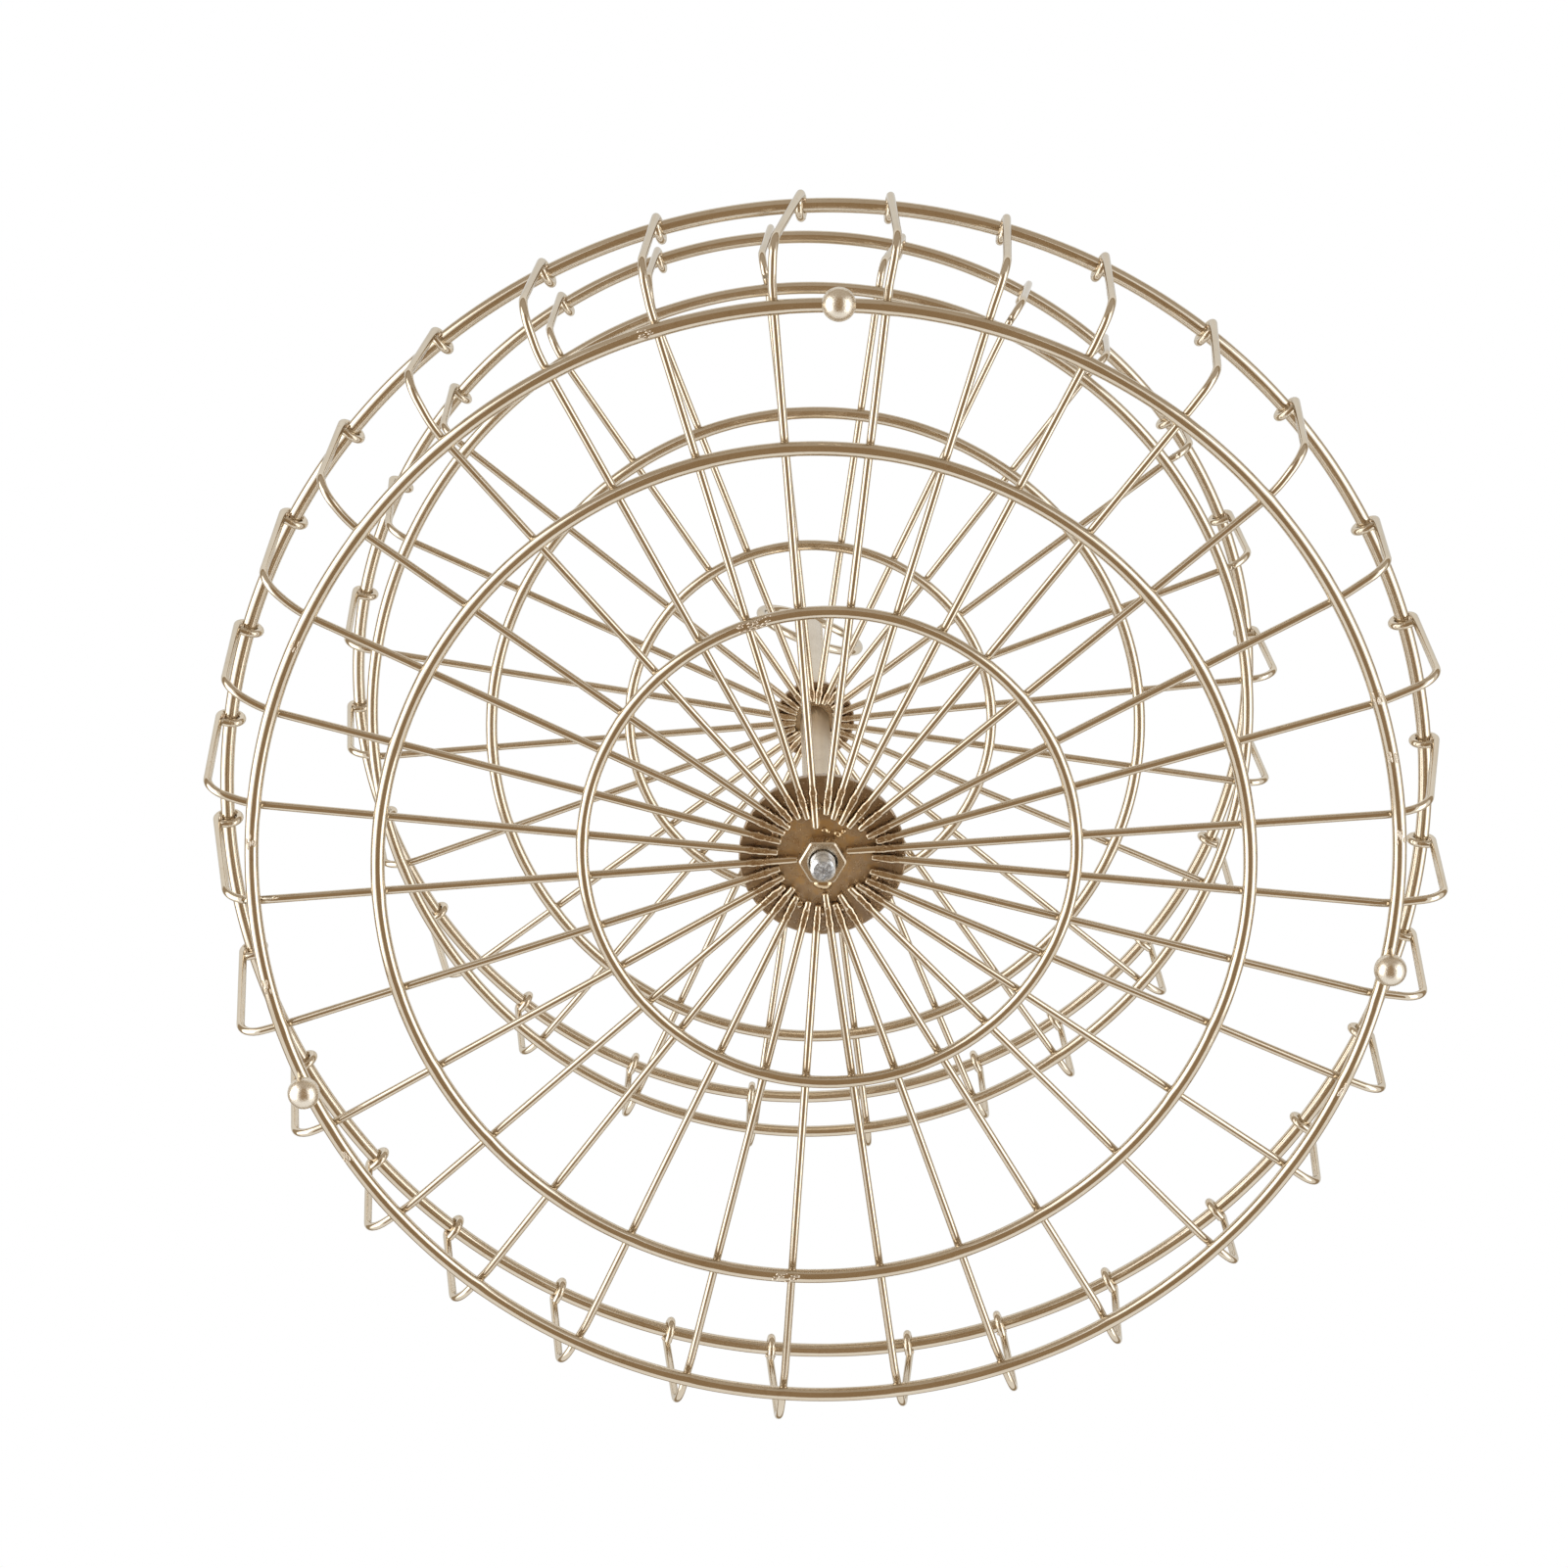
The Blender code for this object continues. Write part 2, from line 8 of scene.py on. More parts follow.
import bmesh
import bpy
from mathutils import Matrix, Vector, noise


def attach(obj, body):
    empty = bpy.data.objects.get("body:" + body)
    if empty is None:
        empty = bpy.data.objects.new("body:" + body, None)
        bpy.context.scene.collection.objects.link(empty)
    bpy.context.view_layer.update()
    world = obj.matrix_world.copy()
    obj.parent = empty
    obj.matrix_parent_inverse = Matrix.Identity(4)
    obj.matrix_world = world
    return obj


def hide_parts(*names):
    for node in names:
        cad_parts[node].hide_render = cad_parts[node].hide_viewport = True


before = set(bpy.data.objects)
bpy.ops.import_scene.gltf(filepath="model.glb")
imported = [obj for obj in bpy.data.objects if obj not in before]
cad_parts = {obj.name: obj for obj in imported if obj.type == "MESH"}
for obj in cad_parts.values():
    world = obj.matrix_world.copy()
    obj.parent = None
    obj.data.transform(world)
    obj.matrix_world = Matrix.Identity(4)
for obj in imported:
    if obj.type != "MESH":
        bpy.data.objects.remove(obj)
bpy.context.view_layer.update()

# Sizes, as in the part's source
RIB_WIRE = 0.002
RIM_WIRE = 0.0035
FIT_GAP = 0.0003
FLAT_SHARE = cos(pi / 6)  # of a six-sided wire's radius, from its middle to its flat side
LOWER_SEAT_Z = 0.009944
TIER_SPACING = 0.12
HUB_THICKNESS = 0.0025
POST_RADIUS = 0.004
BORE_RADIUS = 0.0033
UPPER_POST_LENGTH = 0.1018
UPPER_POST_BORE_DEPTH = 0.022
POST_TIP_EDGE = 0.0006
ROD_RADIUS = 0.003
ROD_OVERHANG = 0.006
ROD_END_ROOM = 0.002
NUT_WIDTH = 0.01
NUT_HEIGHT = 0.005
NUT_TURN_DEG = 10.0
HANDLE_RADIUS = 0.0162
HANDLE_WIRE = 0.0028
HANDLE_DROP = 0.0162
FOOT_RADIUS = 0.0039
FOOT_FLAT_RADIUS = 0.0012
FOOT_BEARINGS_DEG = (137.5, 251.0, 349.0)
FOOT_OFFSETS = (0.0, 0.0008, 0.0)  # outward from the middle of the ring's wire


# The trays. Heights are in metres: of the floor rings' top, and of the rim's middle above it. Rings
# are given inner to outer, as shares of the rim's radius, and each ring's shift off the post's axis
# is a share of its own. For each rib: its bearing and its hook's, in degrees, where its corner is
# as a share of the rim's radius, and how far the hand-made bend turns that corner out of its line.
# For each lower rib too: the bearing of its end under the hub, and how far that is from the post's
# middle.
LOWER_TIER = SimpleNamespace(
    name="lower", seat=LOWER_SEAT_Z, wall=0.0382, rim=0.15, hub=0.02,
    rim_shift=(0.011, -0.003), shares=(0.392, 0.693, 0.911), wires=(0.003, 0.0034, 0.0034),
    shifts=((0.015, -0.041), (-0.002, 0.05), (0.018, 0.032)),
    ribs=(
        15, 26.4, 39.6, 51.3, 62.2, 73.8, 83.8, 95.5, 107.5, 118.4, 130.3, 142, 155.6, 165.8, 175.7,
        186.3, 196.6, 209.2, 221.7, 233.3, 245.1, 256.2, 266.3, 276.7, 287.9, 299.6, 312.2, 323.8,
        335.6, 345.1, 354.7, 364.2,
    ),
    hooks=(
        14.5, 27, 40, 52, 61.5, 75.5, 86, 98, 110.5, 121, 133.5, 146, 159.5, 169.5, 178.5, 190, 200,
        212, 223.5, 234.5, 247.5, 255.5, 266, 275.5, 287, 297.5, 311, 321, 333, 343, 352.5, 363.5,
    ),
    corners=(
        1, 0.995, 1, 1.01, 0.99, 1.01, 1.005, 1, 0.995, 0.995, 0.988, 0.99, 0.953, 0.981, 0.979,
        0.981, 0.982, 0.995, 0.988, 0.976, 0.975, 0.982, 0.974, 0.976, 0.975, 0.984, 0.995, 1.009,
        0.965, 1, 1.005, 1.005,
    ),
    turns=(
        0, -0.4, 0.4, -0.3, -0.2, 0.2, 0.2, 0.5, 0.5, 0.6, 0.5, 0.2, 0.4, 1, 1.2, 1.3, 1.4, 1.2,
        0.8, 0.3, 0.4, 0.3, 0.1, -0.2, -0.1, -1.1, -0.6, -0.7, -0.6, -1.1, -0.7, -0.2,
    ),
    tips=(
        19.2, 29.6, 46, 55.2, 65.3, 74.7, 86.3, 101.7, 112.2, 121.5, 132.3, 144.8, 155.5, 166.9,
        181.5, 193.4, 202.7, 210.8, 220.1, 229.8, 238.1, 254.4, 264.7, 277.4, 289.3, 301.5, 314.3,
        322.4, 325, 339.9, 356.7, 368.4,
    ),
    tip_reaches=(
        0.0105, 0.0098, 0.0099, 0.0118, 0.0089, 0.012, 0.0113, 0.0113, 0.01, 0.0114, 0.0102, 0.0104,
        0.0058, 0.0106, 0.0105, 0.0107, 0.0106, 0.0117, 0.011, 0.0101, 0.0073, 0.0106, 0.0097,
        0.0091, 0.0095, 0.011, 0.0116, 0.0133, 0.0058, 0.0116, 0.0117, 0.0117,
    ),
)
UPPER_TIER = SimpleNamespace(
    name="upper", seat=LOWER_SEAT_Z + TIER_SPACING, wall=0.039, rim=0.1288, hub=0.011,
    rim_shift=(-0.021, 0.006), shares=(0.389, 0.697, 0.941), wires=(0.0028, 0.0032, 0.0032),
    shifts=((-0.026, 0), (0.013, 0.03), (-0.007, 0.012)),
    ribs=(
        3.3, 19.6, 35.2, 47.8, 62.8, 78.1, 94.7, 109.6, 123.4, 140.2, 155.4, 169.6, 185, 199.2,
        216.1, 229, 244, 258, 275, 287.1, 302.6, 319, 334.4, 348.5,
    ),
    hooks=(
        1.5, 18, 34, 46, 63, 77, 93.5, 110.5, 127.5, 142.5, 157.5, 172.5, 187.5, 201.5, 219, 232,
        246, 262, 278.5, 290, 303, 317.5, 333, 347.5,
    ),
    corners=(
        0.998, 1.007, 1.018, 1.013, 1.009, 1.013, 1.02, 1.011, 1.001, 0.995, 1.006, 1.017, 0.997,
        1.008, 1.005, 1.01, 1, 0.99, 0.995, 0.993, 0.989, 0.991, 0.997, 0.995,
    ),
    turns=(
        -0.2, -0.3, 0, -0.4, 0.1, 0.3, 0, 0.4, 0.5, 0.6, 0.6, 0.1, 0.1, 0, 0.4, 0.9, -0.5, 0, 0.4,
        0.5, 0.4, -0.2, -0.2, -0.3,
    ),
)

# Where the upper ribs end, from the post's middle
UPPER_TIP_REACH = 0.0054
UPPER_TIP_SCATTER = 0.0014
TIP_NOISE_PLACE = (0.3, 0.7)  # where in the noise that scatter is read

# Wires as they look: hooks hug the rim, cut ends are blunt, welded places are pressed flat
BEND_RADIUS = 0.006
KNEE_RADIUS = 0.03
SMALL_TURN = 0.0005  # radians: below it a path is taken as straight
HOOK_HUG = 0.00005
HOOK_END_GAP_SHARE = 1.2  # of the wire's radius, from the leg's middle to the curl's cut end
WIRE_SIDES = 16
RIM_SIDES = 18
BEND_STEPS = 8
HOOK_STEPS = 26
STRAIGHT_STEP = 0.004
HUB_STEP = 0.0004
RING_STEP = 0.0028
DOME_STEPS = 4
DOME_SHARE = 0.5
DOME_SQUARENESS = 0.5
PRESS_START_SHARE = 0.64
PRESS_END_SHARE = 0.9
PRESS_SHIFT = 0.0012  # how far the pressed stretch's ends wander from rib to rib
PRESS_RAMP = 0.0007
PRESS_WIDTH_SHARE = 0.03
PRESS_DEPTH_SHARE = 0.2
NOTCH_PITCH = 0.0009
NOTCH_SHARE = 0.22
NOTCH_OUTSIDE = 0.35  # how deep the notches are outside the pressed stretch
PRESS_NOISE_PLACE = (0.5, 0.5)  # where in the noise the pressed stretches' ends are read
TIP_TAPER_LENGTH = 0.003
TIP_TAPER_SHARE = 0.1
DENT_LENGTH = 0.0016
DENT_SHARE = 0.13
WOBBLE_SHARE = 0.018
WOBBLE_PITCH = 0.009
HUB_EDGE = 0.0004
SHARP_DEG = 40  # an edge that bends more than this stays sharp
HUB_SHARP_DEG = 50
NUT_SHARP_DEG = 20
ROUND_STEPS = 5

# Weld nuggets, as half sizes along the ring, along the rib, and in height
FLOOR_NUGGET = (0.00165, 0.00135, 0.0005)
HOOK_NUGGET = (0.00135, 0.0006, 0.0006)
HOOK_NUGGET_PLACE = 0.0016  # outward and down from the rim's middle
NUGGET_LUMP_SHARE = 0.28
NUGGET_LUMP_PITCH = 0.0009
NUGGET_DETAIL = 2

# Lacquer beads round the nut: bearing, distance from the post's middle, and half sizes
LACQUER_BEADS = (
    (68.0, 0.0066, (0.0024, 0.0018, 0.0011)), (255.0, 0.0066, (0.0009, 0.0007, 0.0006)),
    (263.0, 0.0063, (0.0005, 0.0005, 0.0005)), (283.0, 0.0067, (0.001, 0.0009, 0.0007)),
    (289.0, 0.0081, (0.0006, 0.0008, 0.0005)),
)

# Scars that the welder's electrode left under the lower floor rings: ring number, bearings
RING_SCARS = (
    (0, (230.5, 232.6, 234.6)), (1, (73, 74.6)),
    (2, (3, 129, 149, 164.5, 185.5, 232.5, 320.6, 327, 335.4)),
)
SCAR_LUMPS = 9
SCAR_SPREAD = (0.0014, 0.0011)  # along the ring and across it
SCAR_LUMP = (0.0008, 0.00024, 0.0003)

# Weld spatter: fine beads in the pressed band and in a few clusters beside the nut
SPATTER_RADII = (0.00008, 0.00022)
SPATTER_ON_RIBS = 9  # beads on each rib
SPATTER_CLUSTERS_DEG = (192, 203, 215, 352, 358, 4)
SPATTER_PER_CLUSTER = 5
SPATTER_CLUSTER_SHARE = 0.44
SPATTER_CLUSTER_SPREAD = 0.0011
SPATTER_SEED = 7

# Thread, nut and rod end
THREAD_PITCH = 0.001
THREAD_DEPTH = 0.00034
THREAD_CREST = 0.12  # shares of half a pitch: the flat crest, and the sloping flank
THREAD_FLANKS = 0.72
ROD_PLAIN_END = 0.0008
THREAD_SEGMENTS = 56
THREAD_ROWS_PER_PITCH = 8
ROD_TIP_EDGE = 0.0008
NUT_BEVEL = 0.00038
NUT_CORNER_SHARE = 1.125  # of the hexagon's inner radius: where its corners are turned off
TURNED_SEGMENTS = 96
FOOT_STEPS = 32

# Studio
CAMERA_PLACE = (-0.087, -0.2033, -0.6554)
CAMERA_TURN_DEG = (163.105, 0.284, -19.935)
CAMERA_LENS_MM = 67.5
CAMERA_SENSOR_MM = 36.0
PHOTO_LEFT_DEG = 160.0  # bearing of the photograph's left side; its right is opposite
SIDE_LAMP_DISTANCE = 1.0
SIDE_LAMP_HEIGHTS = (-0.33, -0.57)
SIDE_LAMP_SHIFTS = (0.55, 0.0)  # toward the photograph's top
SIDE_LAMP_SIZES = ((2.2, 1.0), (1.5, 0.62))
SIDE_LAMP_POWERS = (10.5, 4.6)
CARD_DEPTH = 0.72
CARD_WIDTH = 0.9
CARD_REACH = (-1.4, 0.55)  # toward the photograph's top and bottom
CARD_COLOUR = (0.335, 0.23, 0.13)
FLAG_DISTANCE = 1.0
FLAG_WIDTH = 2.4
FLAG_HEIGHTS = (-0.72, 0.5)
FLAG_COLOUR = (0.5, 0.43, 0.35)
BAND_RADIUS = 1.6
BAND_HEIGHTS = (0.3, 1.15)
BAND_SEGMENTS = 48
BAND_COLOUR = (0.4, 0.31, 0.21)
TOP_LAMP_HEIGHT = 1.6
TOP_LAMP_SIZE = (1.6, 1.6)
TOP_LAMP_POWER = 11.0
WORLD_AMBIENT = 0.55
FLOOR_SIZE = 12.0
FLOOR_SEGMENTS = 64
FLOOR_ROUGHNESS = 0.9
FLOOR_FADE = (0.4, 0.95)  # from the middle, where the floor starts and ends its fade to white
FLOOR_COLOUR = (0.9, 0.9, 0.89)

# Colours
GOLD = (0.69, 0.605, 0.48)
GOLD_BROWN = (0.6, 0.5, 0.37)
GOLD_PALE = (0.82, 0.75, 0.64)
HUB_BROWN = (0.5, 0.375, 0.25)
HUB_DARK = (0.33, 0.245, 0.17)
HUB_ORANGE = (0.66, 0.44, 0.2)
BEAD_GOLD = (0.62, 0.46, 0.27)
POST_GOLD = (0.77, 0.68, 0.55)
WELD_BROWN = (0.46, 0.32, 0.19)
ZINC = (0.8, 0.82, 0.84)
ZINC_DULL = (0.52, 0.53, 0.54)
ZINC_DARK = (0.26, 0.27, 0.29)
BLACK = (0.0, 0.0, 0.0)

# Looks: distances from the post's middle in metres, shares, heights of bumps in metres
NOISE_SPAN = (0.3, 0.7)  # what most of a noise's values lie between
HEAT_REACH = (0.012, 0.023)
PRESS_EDGE = 0.001  # how softly the scorched look of a pressed stretch ends
SCORCH = 0.85
EDGE_TINT = (0.71, 0.69, 0.65)  # what the lacquered metal mirrors at a grazing angle
WIRE_LOOK = (GOLD, GOLD_BROWN, 0.075, (1400.0, 30.0))
WIRE_BUMP = 0.000004
FOOT_BUMP = 0.00005

# Heights that follow
RIB_RADIUS = RIB_WIRE / 2
RIM_WIRE_RADIUS = RIM_WIRE / 2
HOOK_RADIUS = RIM_WIRE_RADIUS + RIB_RADIUS + HOOK_HUG
RIB_HALF = RIB_RADIUS * FLAT_SHARE
RIB_RISE = FIT_GAP + RIB_HALF
for tray in (LOWER_TIER, UPPER_TIER):
    tray.hub_z = tray.seat + (RIB_RISE + RIB_HALF + FIT_GAP)
    tray.rim_z = tray.seat + tray.wall
LOWER_POST_Z = LOWER_TIER.hub_z + HUB_THICKNESS + FIT_GAP
UPPER_POST_Z = UPPER_TIER.hub_z + HUB_THICKNESS + FIT_GAP
POST_TIP_Z = UPPER_POST_Z + UPPER_POST_LENGTH
HANDLE_Z = POST_TIP_Z - HANDLE_DROP
NUT_TOP_Z = LOWER_TIER.hub_z - FIT_GAP
ROD_BOTTOM_Z = NUT_TOP_Z - NUT_HEIGHT - ROD_OVERHANG
ROD_TOP_Z = UPPER_POST_Z + UPPER_POST_BORE_DEPTH - ROD_END_ROOM
HANDLE_HOLE_RADIUS = (HANDLE_WIRE / 2 + HANDLE_RADIUS + FIT_GAP
                      - sqrt(HANDLE_RADIUS ** 2 - POST_RADIUS ** 2))
UP = Vector((0, 0, 1))
MIX_COLOURS = (6, 7)  # the Mix node's two colour inputs, and its colour output
MIX_RESULT = 2


# Materials

def feed(socket, value):
    """Join another node's output to a socket, or set it to a number or colour."""
    if isinstance(value, bpy.types.NodeSocket):
        socket.id_data.links.new(value, socket)
    else:
        socket.default_value = (*value, 1.0) if socket.type == "RGBA" else value


def add_node(beside, kind, inputs=None, **settings):
    """A node in the tree of a socket, or in a tree, its inputs fed by their names or numbers."""
    node = beside.id_data.nodes.new(kind)
    for key, value in settings.items():
        setattr(node, key, value)
    for socket, value in (inputs or {}).items():
        feed(node.inputs[socket], value)
    return node


def new_material(name):
    material = bpy.data.materials.new(name)
    material.use_nodes = True
    return material, material.node_tree


def set_shader(tree, inputs):
    for socket, value in inputs.items():
        feed(tree.nodes["Principled BSDF"].inputs[socket], value)


def solid_place(tree):
    return add_node(tree, "ShaderNodeTexCoord").outputs["Object"]


def stretched(place, stretch):
    """A coordinate multiplied axis by axis."""
    inputs = {0: place, 1: stretch}
    return add_node(place, "ShaderNodeVectorMath", inputs, operation="MULTIPLY").outputs[0]


def reach_of(place):
    """The distance from Z."""
    flat = {0: stretched(place, (1.0, 1.0, 0.0))}
    return add_node(place, "ShaderNodeVectorMath", flat, operation="LENGTH").outputs["Value"]


def noise_of(place, scale, detail=3.0, roughness=0.55):
    inputs = {"Vector": place, "Scale": scale, "Detail": detail, "Roughness": roughness}
    return add_node(place, "ShaderNodeTexNoise", inputs).outputs["Fac"]


def cells_of(place, scale):
    inputs = {"Vector": place, "Scale": scale}
    return add_node(place, "ShaderNodeTexVoronoi", inputs).outputs["Distance"]


def remapped(value, low, high, at_low=0.0, at_high=1.0):
    inputs = {"Value": value, "From Min": low, "From Max": high, "To Min": at_low,
              "To Max": at_high}
    return add_node(value, "ShaderNodeMapRange", inputs, clamp=True).outputs["Result"]


def fading(value, low, high, at_low=1.0):
    return remapped(value, low, high, at_low, 0.0)


def grained(grain, smooth, dull):
    """Roughness that follows a noise."""
    return remapped(grain, *NOISE_SPAN, smooth, dull)


def mixed(factor, first, second):
    """A colour between two, each a colour or another node's output."""
    inputs = {"Factor": factor, MIX_COLOURS[0]: first, MIX_COLOURS[1]: second}
    return add_node(factor, "ShaderNodeMix", inputs, data_type="RGBA").outputs[MIX_RESULT]


def summed(first, second, share):
    """first plus a share of second."""
    inputs = {0: second, 1: share, 2: first}
    return add_node(first, "ShaderNodeMath", inputs, operation="MULTIPLY_ADD").outputs[0]


def greater(first, second):
    return add_node(first, "ShaderNodeMath", {0: first, 1: second}, operation="MAXIMUM").outputs[0]


def finished(material, colour, rough, height, metallic, bump_depth):
    """The material, its shader given what a metal's look is made of."""
    bump = add_node(height, "ShaderNodeBump", {"Height": height, "Distance": bump_depth})
    set_shader(material.node_tree, {"Base Color": colour, "Roughness": rough,
                                    "Metallic": metallic, "Normal": bump.outputs["Normal"]})
    return material


def scorched(solid, reach, hub_radius):
    """How brown the welding has left a rib where it is pressed against its hub, fleck by fleck."""
    start = PRESS_START_SHARE * hub_radius
    end = PRESS_END_SHARE * hub_radius
    inside = remapped(reach, start - PRESS_EDGE, start, at_high=SCORCH)
    outside = fading(reach, end, end + PRESS_EDGE)
    fleck = remapped(noise_of(solid, scale=1300.0, roughness=0.7), low=0.44, high=0.56)
    return mixed(fleck, BLACK, mixed(outside, BLACK, inside))


def finish_gold(name, light, dark, roughness, streaks, hub_radius=0.0, bump_depth=WIRE_BUMP):
    """Glossy gold lacquer over drawn steel: soft blotches, faint draw lines, grain and pale specks.

    Under a hub of this radius the welding has flushed it orange and scorched its pressed stretch.
    """
    material, tree = new_material(name)
    place = add_node(tree, "ShaderNodeTexCoord").outputs
    solid = place["Object"]
    streak = noise_of(stretched(place["UV"], (*streaks, 1.0)), scale=1.0)
    grain = noise_of(solid, scale=2600.0, roughness=0.7)
    blotch = remapped(noise_of(solid, scale=75.0, detail=4.0), low=0.36, high=0.7, at_high=0.55)
    pale_streak = remapped(streak, low=0.45, high=0.8, at_high=0.35)
    stain = remapped(noise_of(solid, scale=460.0), low=0.62, high=0.74, at_high=0.3)
    speck = fading(cells_of(solid, scale=520.0), low=0.06, high=0.1, at_low=0.3)
    colour = mixed(pale_streak, mixed(blotch, light, dark), GOLD_PALE)
    colour = mixed(stain, colour, WELD_BROWN)
    if hub_radius:
        reach = reach_of(solid)
        colour = mixed(fading(reach, *HEAT_REACH, at_low=0.15), colour, HUB_ORANGE)
        colour = mixed(scorched(solid, reach, hub_radius), colour, WELD_BROWN)
    colour = mixed(speck, colour, GOLD_PALE)
    rough = grained(grain, smooth=0.85 * roughness, dull=1.2 * roughness)
    set_shader(tree, {"Specular Tint": EDGE_TINT, "Coat Weight": 0.15, "Coat Roughness": 0.1})
    return finished(material, colour, summed(rough, streak, share=0.03),
                    summed(grain, streak, share=0.12), metallic=0.97, bump_depth=bump_depth)


def finish_weld(name):
    """Lacquered weld metal, lumpier and browner than the wire, with bright beads of spatter."""
    material, tree = new_material(name)
    solid = solid_place(tree)
    lump = noise_of(solid, scale=700.0, detail=4.0, roughness=0.6)
    bead = fading(cells_of(solid, scale=1300.0), low=0.14, high=0.24)
    colour = mixed(remapped(lump, low=0.32, high=0.56), WELD_BROWN, GOLD_BROWN)
    return finished(material, mixed(bead, colour, GOLD_PALE), grained(lump, smooth=0.42, dull=0.22),
                    summed(lump, bead, share=0.4), metallic=0.92, bump_depth=0.00007)


def finish_hub(name, radius, flush_share):
    """A pressed disc: brown clouds, a weld-heat orange flush, a darker edge, grain and specks."""
    material, tree = new_material(name)
    solid = solid_place(tree)
    reach = reach_of(solid)
    cloud = noise_of(solid, scale=170.0, detail=5.0, roughness=0.6)
    wisp = noise_of(solid, scale=420.0, detail=4.0, roughness=0.6)
    grain = noise_of(solid, scale=2400.0, roughness=0.7)
    flush = remapped(summed(wisp, cloud, share=1.0), low=0.98, high=1.18, at_high=0.8 * flush_share)
    near_nut = fading(reach, low=0.28 * radius, high=0.5 * radius, at_low=0.35 * flush_share)
    # darker toward the disc's edge
    toward_edge = remapped(reach, low=0.45 * radius, high=0.8 * radius, at_high=0.7)
    speck = fading(cells_of(solid, scale=1100.0), low=0.08, high=0.14, at_low=0.75)
    colour = mixed(remapped(cloud, low=0.34, high=0.62), HUB_BROWN, GOLD_BROWN)
    for share, tint in ((flush, HUB_ORANGE), (near_nut, HUB_ORANGE), (toward_edge, HUB_DARK),
                        (speck, GOLD_PALE)):
        colour = mixed(share, colour, tint)
    return finished(material, colour, grained(wisp, smooth=0.22, dull=0.4),
                    summed(wisp, grain, share=0.5), metallic=0.95, bump_depth=0.00012)


def finish_zinc(name):
    """Bright zinc plate, clouded."""
    material, tree = new_material(name)
    solid = solid_place(tree)
    cloud = noise_of(solid, scale=420.0, detail=4.0)
    pit = noise_of(solid, scale=3000.0, roughness=0.7)
    colour = mixed(remapped(cloud, low=0.42, high=0.68), ZINC, ZINC_DULL)
    return finished(material, colour, grained(pit, smooth=0.06, dull=0.16),
                    summed(pit, cloud, share=0.6), metallic=1.0, bump_depth=0.00006)


def finish_sawn(name):
    """The rod's sawn end: matt, pitted zinc."""
    material, tree = new_material(name)
    solid = solid_place(tree)
    pit = noise_of(solid, scale=1500.0, detail=4.0, roughness=0.7)
    chip = fading(cells_of(solid, scale=1900.0), low=0.1, high=0.3)
    colour = mixed(remapped(pit, low=0.38, high=0.66), ZINC_DARK, ZINC)
    return finished(material, colour, grained(pit, smooth=0.22, dull=0.4),
                    summed(pit, chip, share=0.5), metallic=0.9, bump_depth=0.0002)


# Each gold has its lighter and darker colour, its roughness, and how many streaks per metre run
# round the piece and along it
FINISHES = {
    "lower_wire": finish_gold("gold wire", *WIRE_LOOK, hub_radius=LOWER_TIER.hub),
    "upper_wire": finish_gold("gold upper wire", *WIRE_LOOK, hub_radius=UPPER_TIER.hub),
    "rim": finish_gold("gold rim wire", GOLD, GOLD_BROWN, 0.075, (900.0, 25.0)),
    "post": finish_gold("brushed gold post", POST_GOLD, GOLD_BROWN, 0.3, (3600.0, 18.0)),
    "nut": finish_gold("gold nut", GOLD, GOLD_BROWN, 0.24, (300.0, 300.0)),
    "foot": finish_gold("gold ball", GOLD_PALE, GOLD, 0.25, (900.0, 900.0), bump_depth=FOOT_BUMP),
    "bead": finish_gold("lacquer bead", BEAD_GOLD, GOLD_BROWN, 0.12, (300.0, 300.0)),
    "weld": finish_weld("gold weld"),
    "scar": finish_gold("bright scar", GOLD_PALE, WELD_BROWN, 0.16, (900.0, 900.0)),
    "lower_hub": finish_hub("darkened gold hub", LOWER_TIER.hub, flush_share=1.0),
    "upper_hub": finish_hub("darkened gold upper hub", UPPER_TIER.hub, flush_share=0.2),
    "zinc": finish_zinc("bright zinc"),
    "sawn": finish_sawn("sawn zinc"),
}


# Pieces

def linked(name, data):
    """A new object in the scene."""
    item = bpy.data.objects.new(name, data)
    bpy.context.scene.collection.objects.link(item)
    return item


def add_piece(name, mesh, finish, *nodes, slot="gold_wire", body="basket"):
    piece = linked(name, mesh)
    mesh.materials.append(FINISHES[finish])
    if nodes:
        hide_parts(*nodes)
    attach(piece, body)


def add_wire(name, shape, finish):
    """A wire in the place of the node of this name."""
    add_piece(name + "_wire", mesh_of(shape, name), finish, name)


def mesh_of(shape, name, sharp_deg=None):
    bmesh.ops.recalc_face_normals(shape, faces=shape.faces)
    mesh = bpy.data.meshes.new(name)
    shape.to_mesh(mesh)
    shape.free()
    mesh.shade_smooth()
    if sharp_deg:
        mesh.set_sharp_from_angle(angle=radians(sharp_deg))
    return mesh


def flat_way(bearing_deg):
    bearing = radians(bearing_deg)
    return Vector((cos(bearing), sin(bearing), 0))


def angles(count):
    """A full turn's angles, in even steps."""
    return [2 * pi * step / count for step in range(count)]


def tangents(points, closed):
    result = []
    count = len(points)
    for index in range(count):
        before = points[index - 1] if index or closed else points[0]
        after = points[(index + 1) % count] if index + 1 < count or closed else points[-1]
        result.append((after - before).normalized())
    return result


def carried_frames(points, start_up, closed):
    """Sideways and upward directions at each point of a path, carried along without a twist."""
    along = tangents(points, closed)
    up = (start_up - along[0] * start_up.dot(along[0])).normalized()
    frames = []
    for index, direction in enumerate(along):
        if index:
            up = along[index - 1].rotation_difference(direction) @ up
        frames.append((direction.cross(up).normalized(), up.copy()))
    return frames


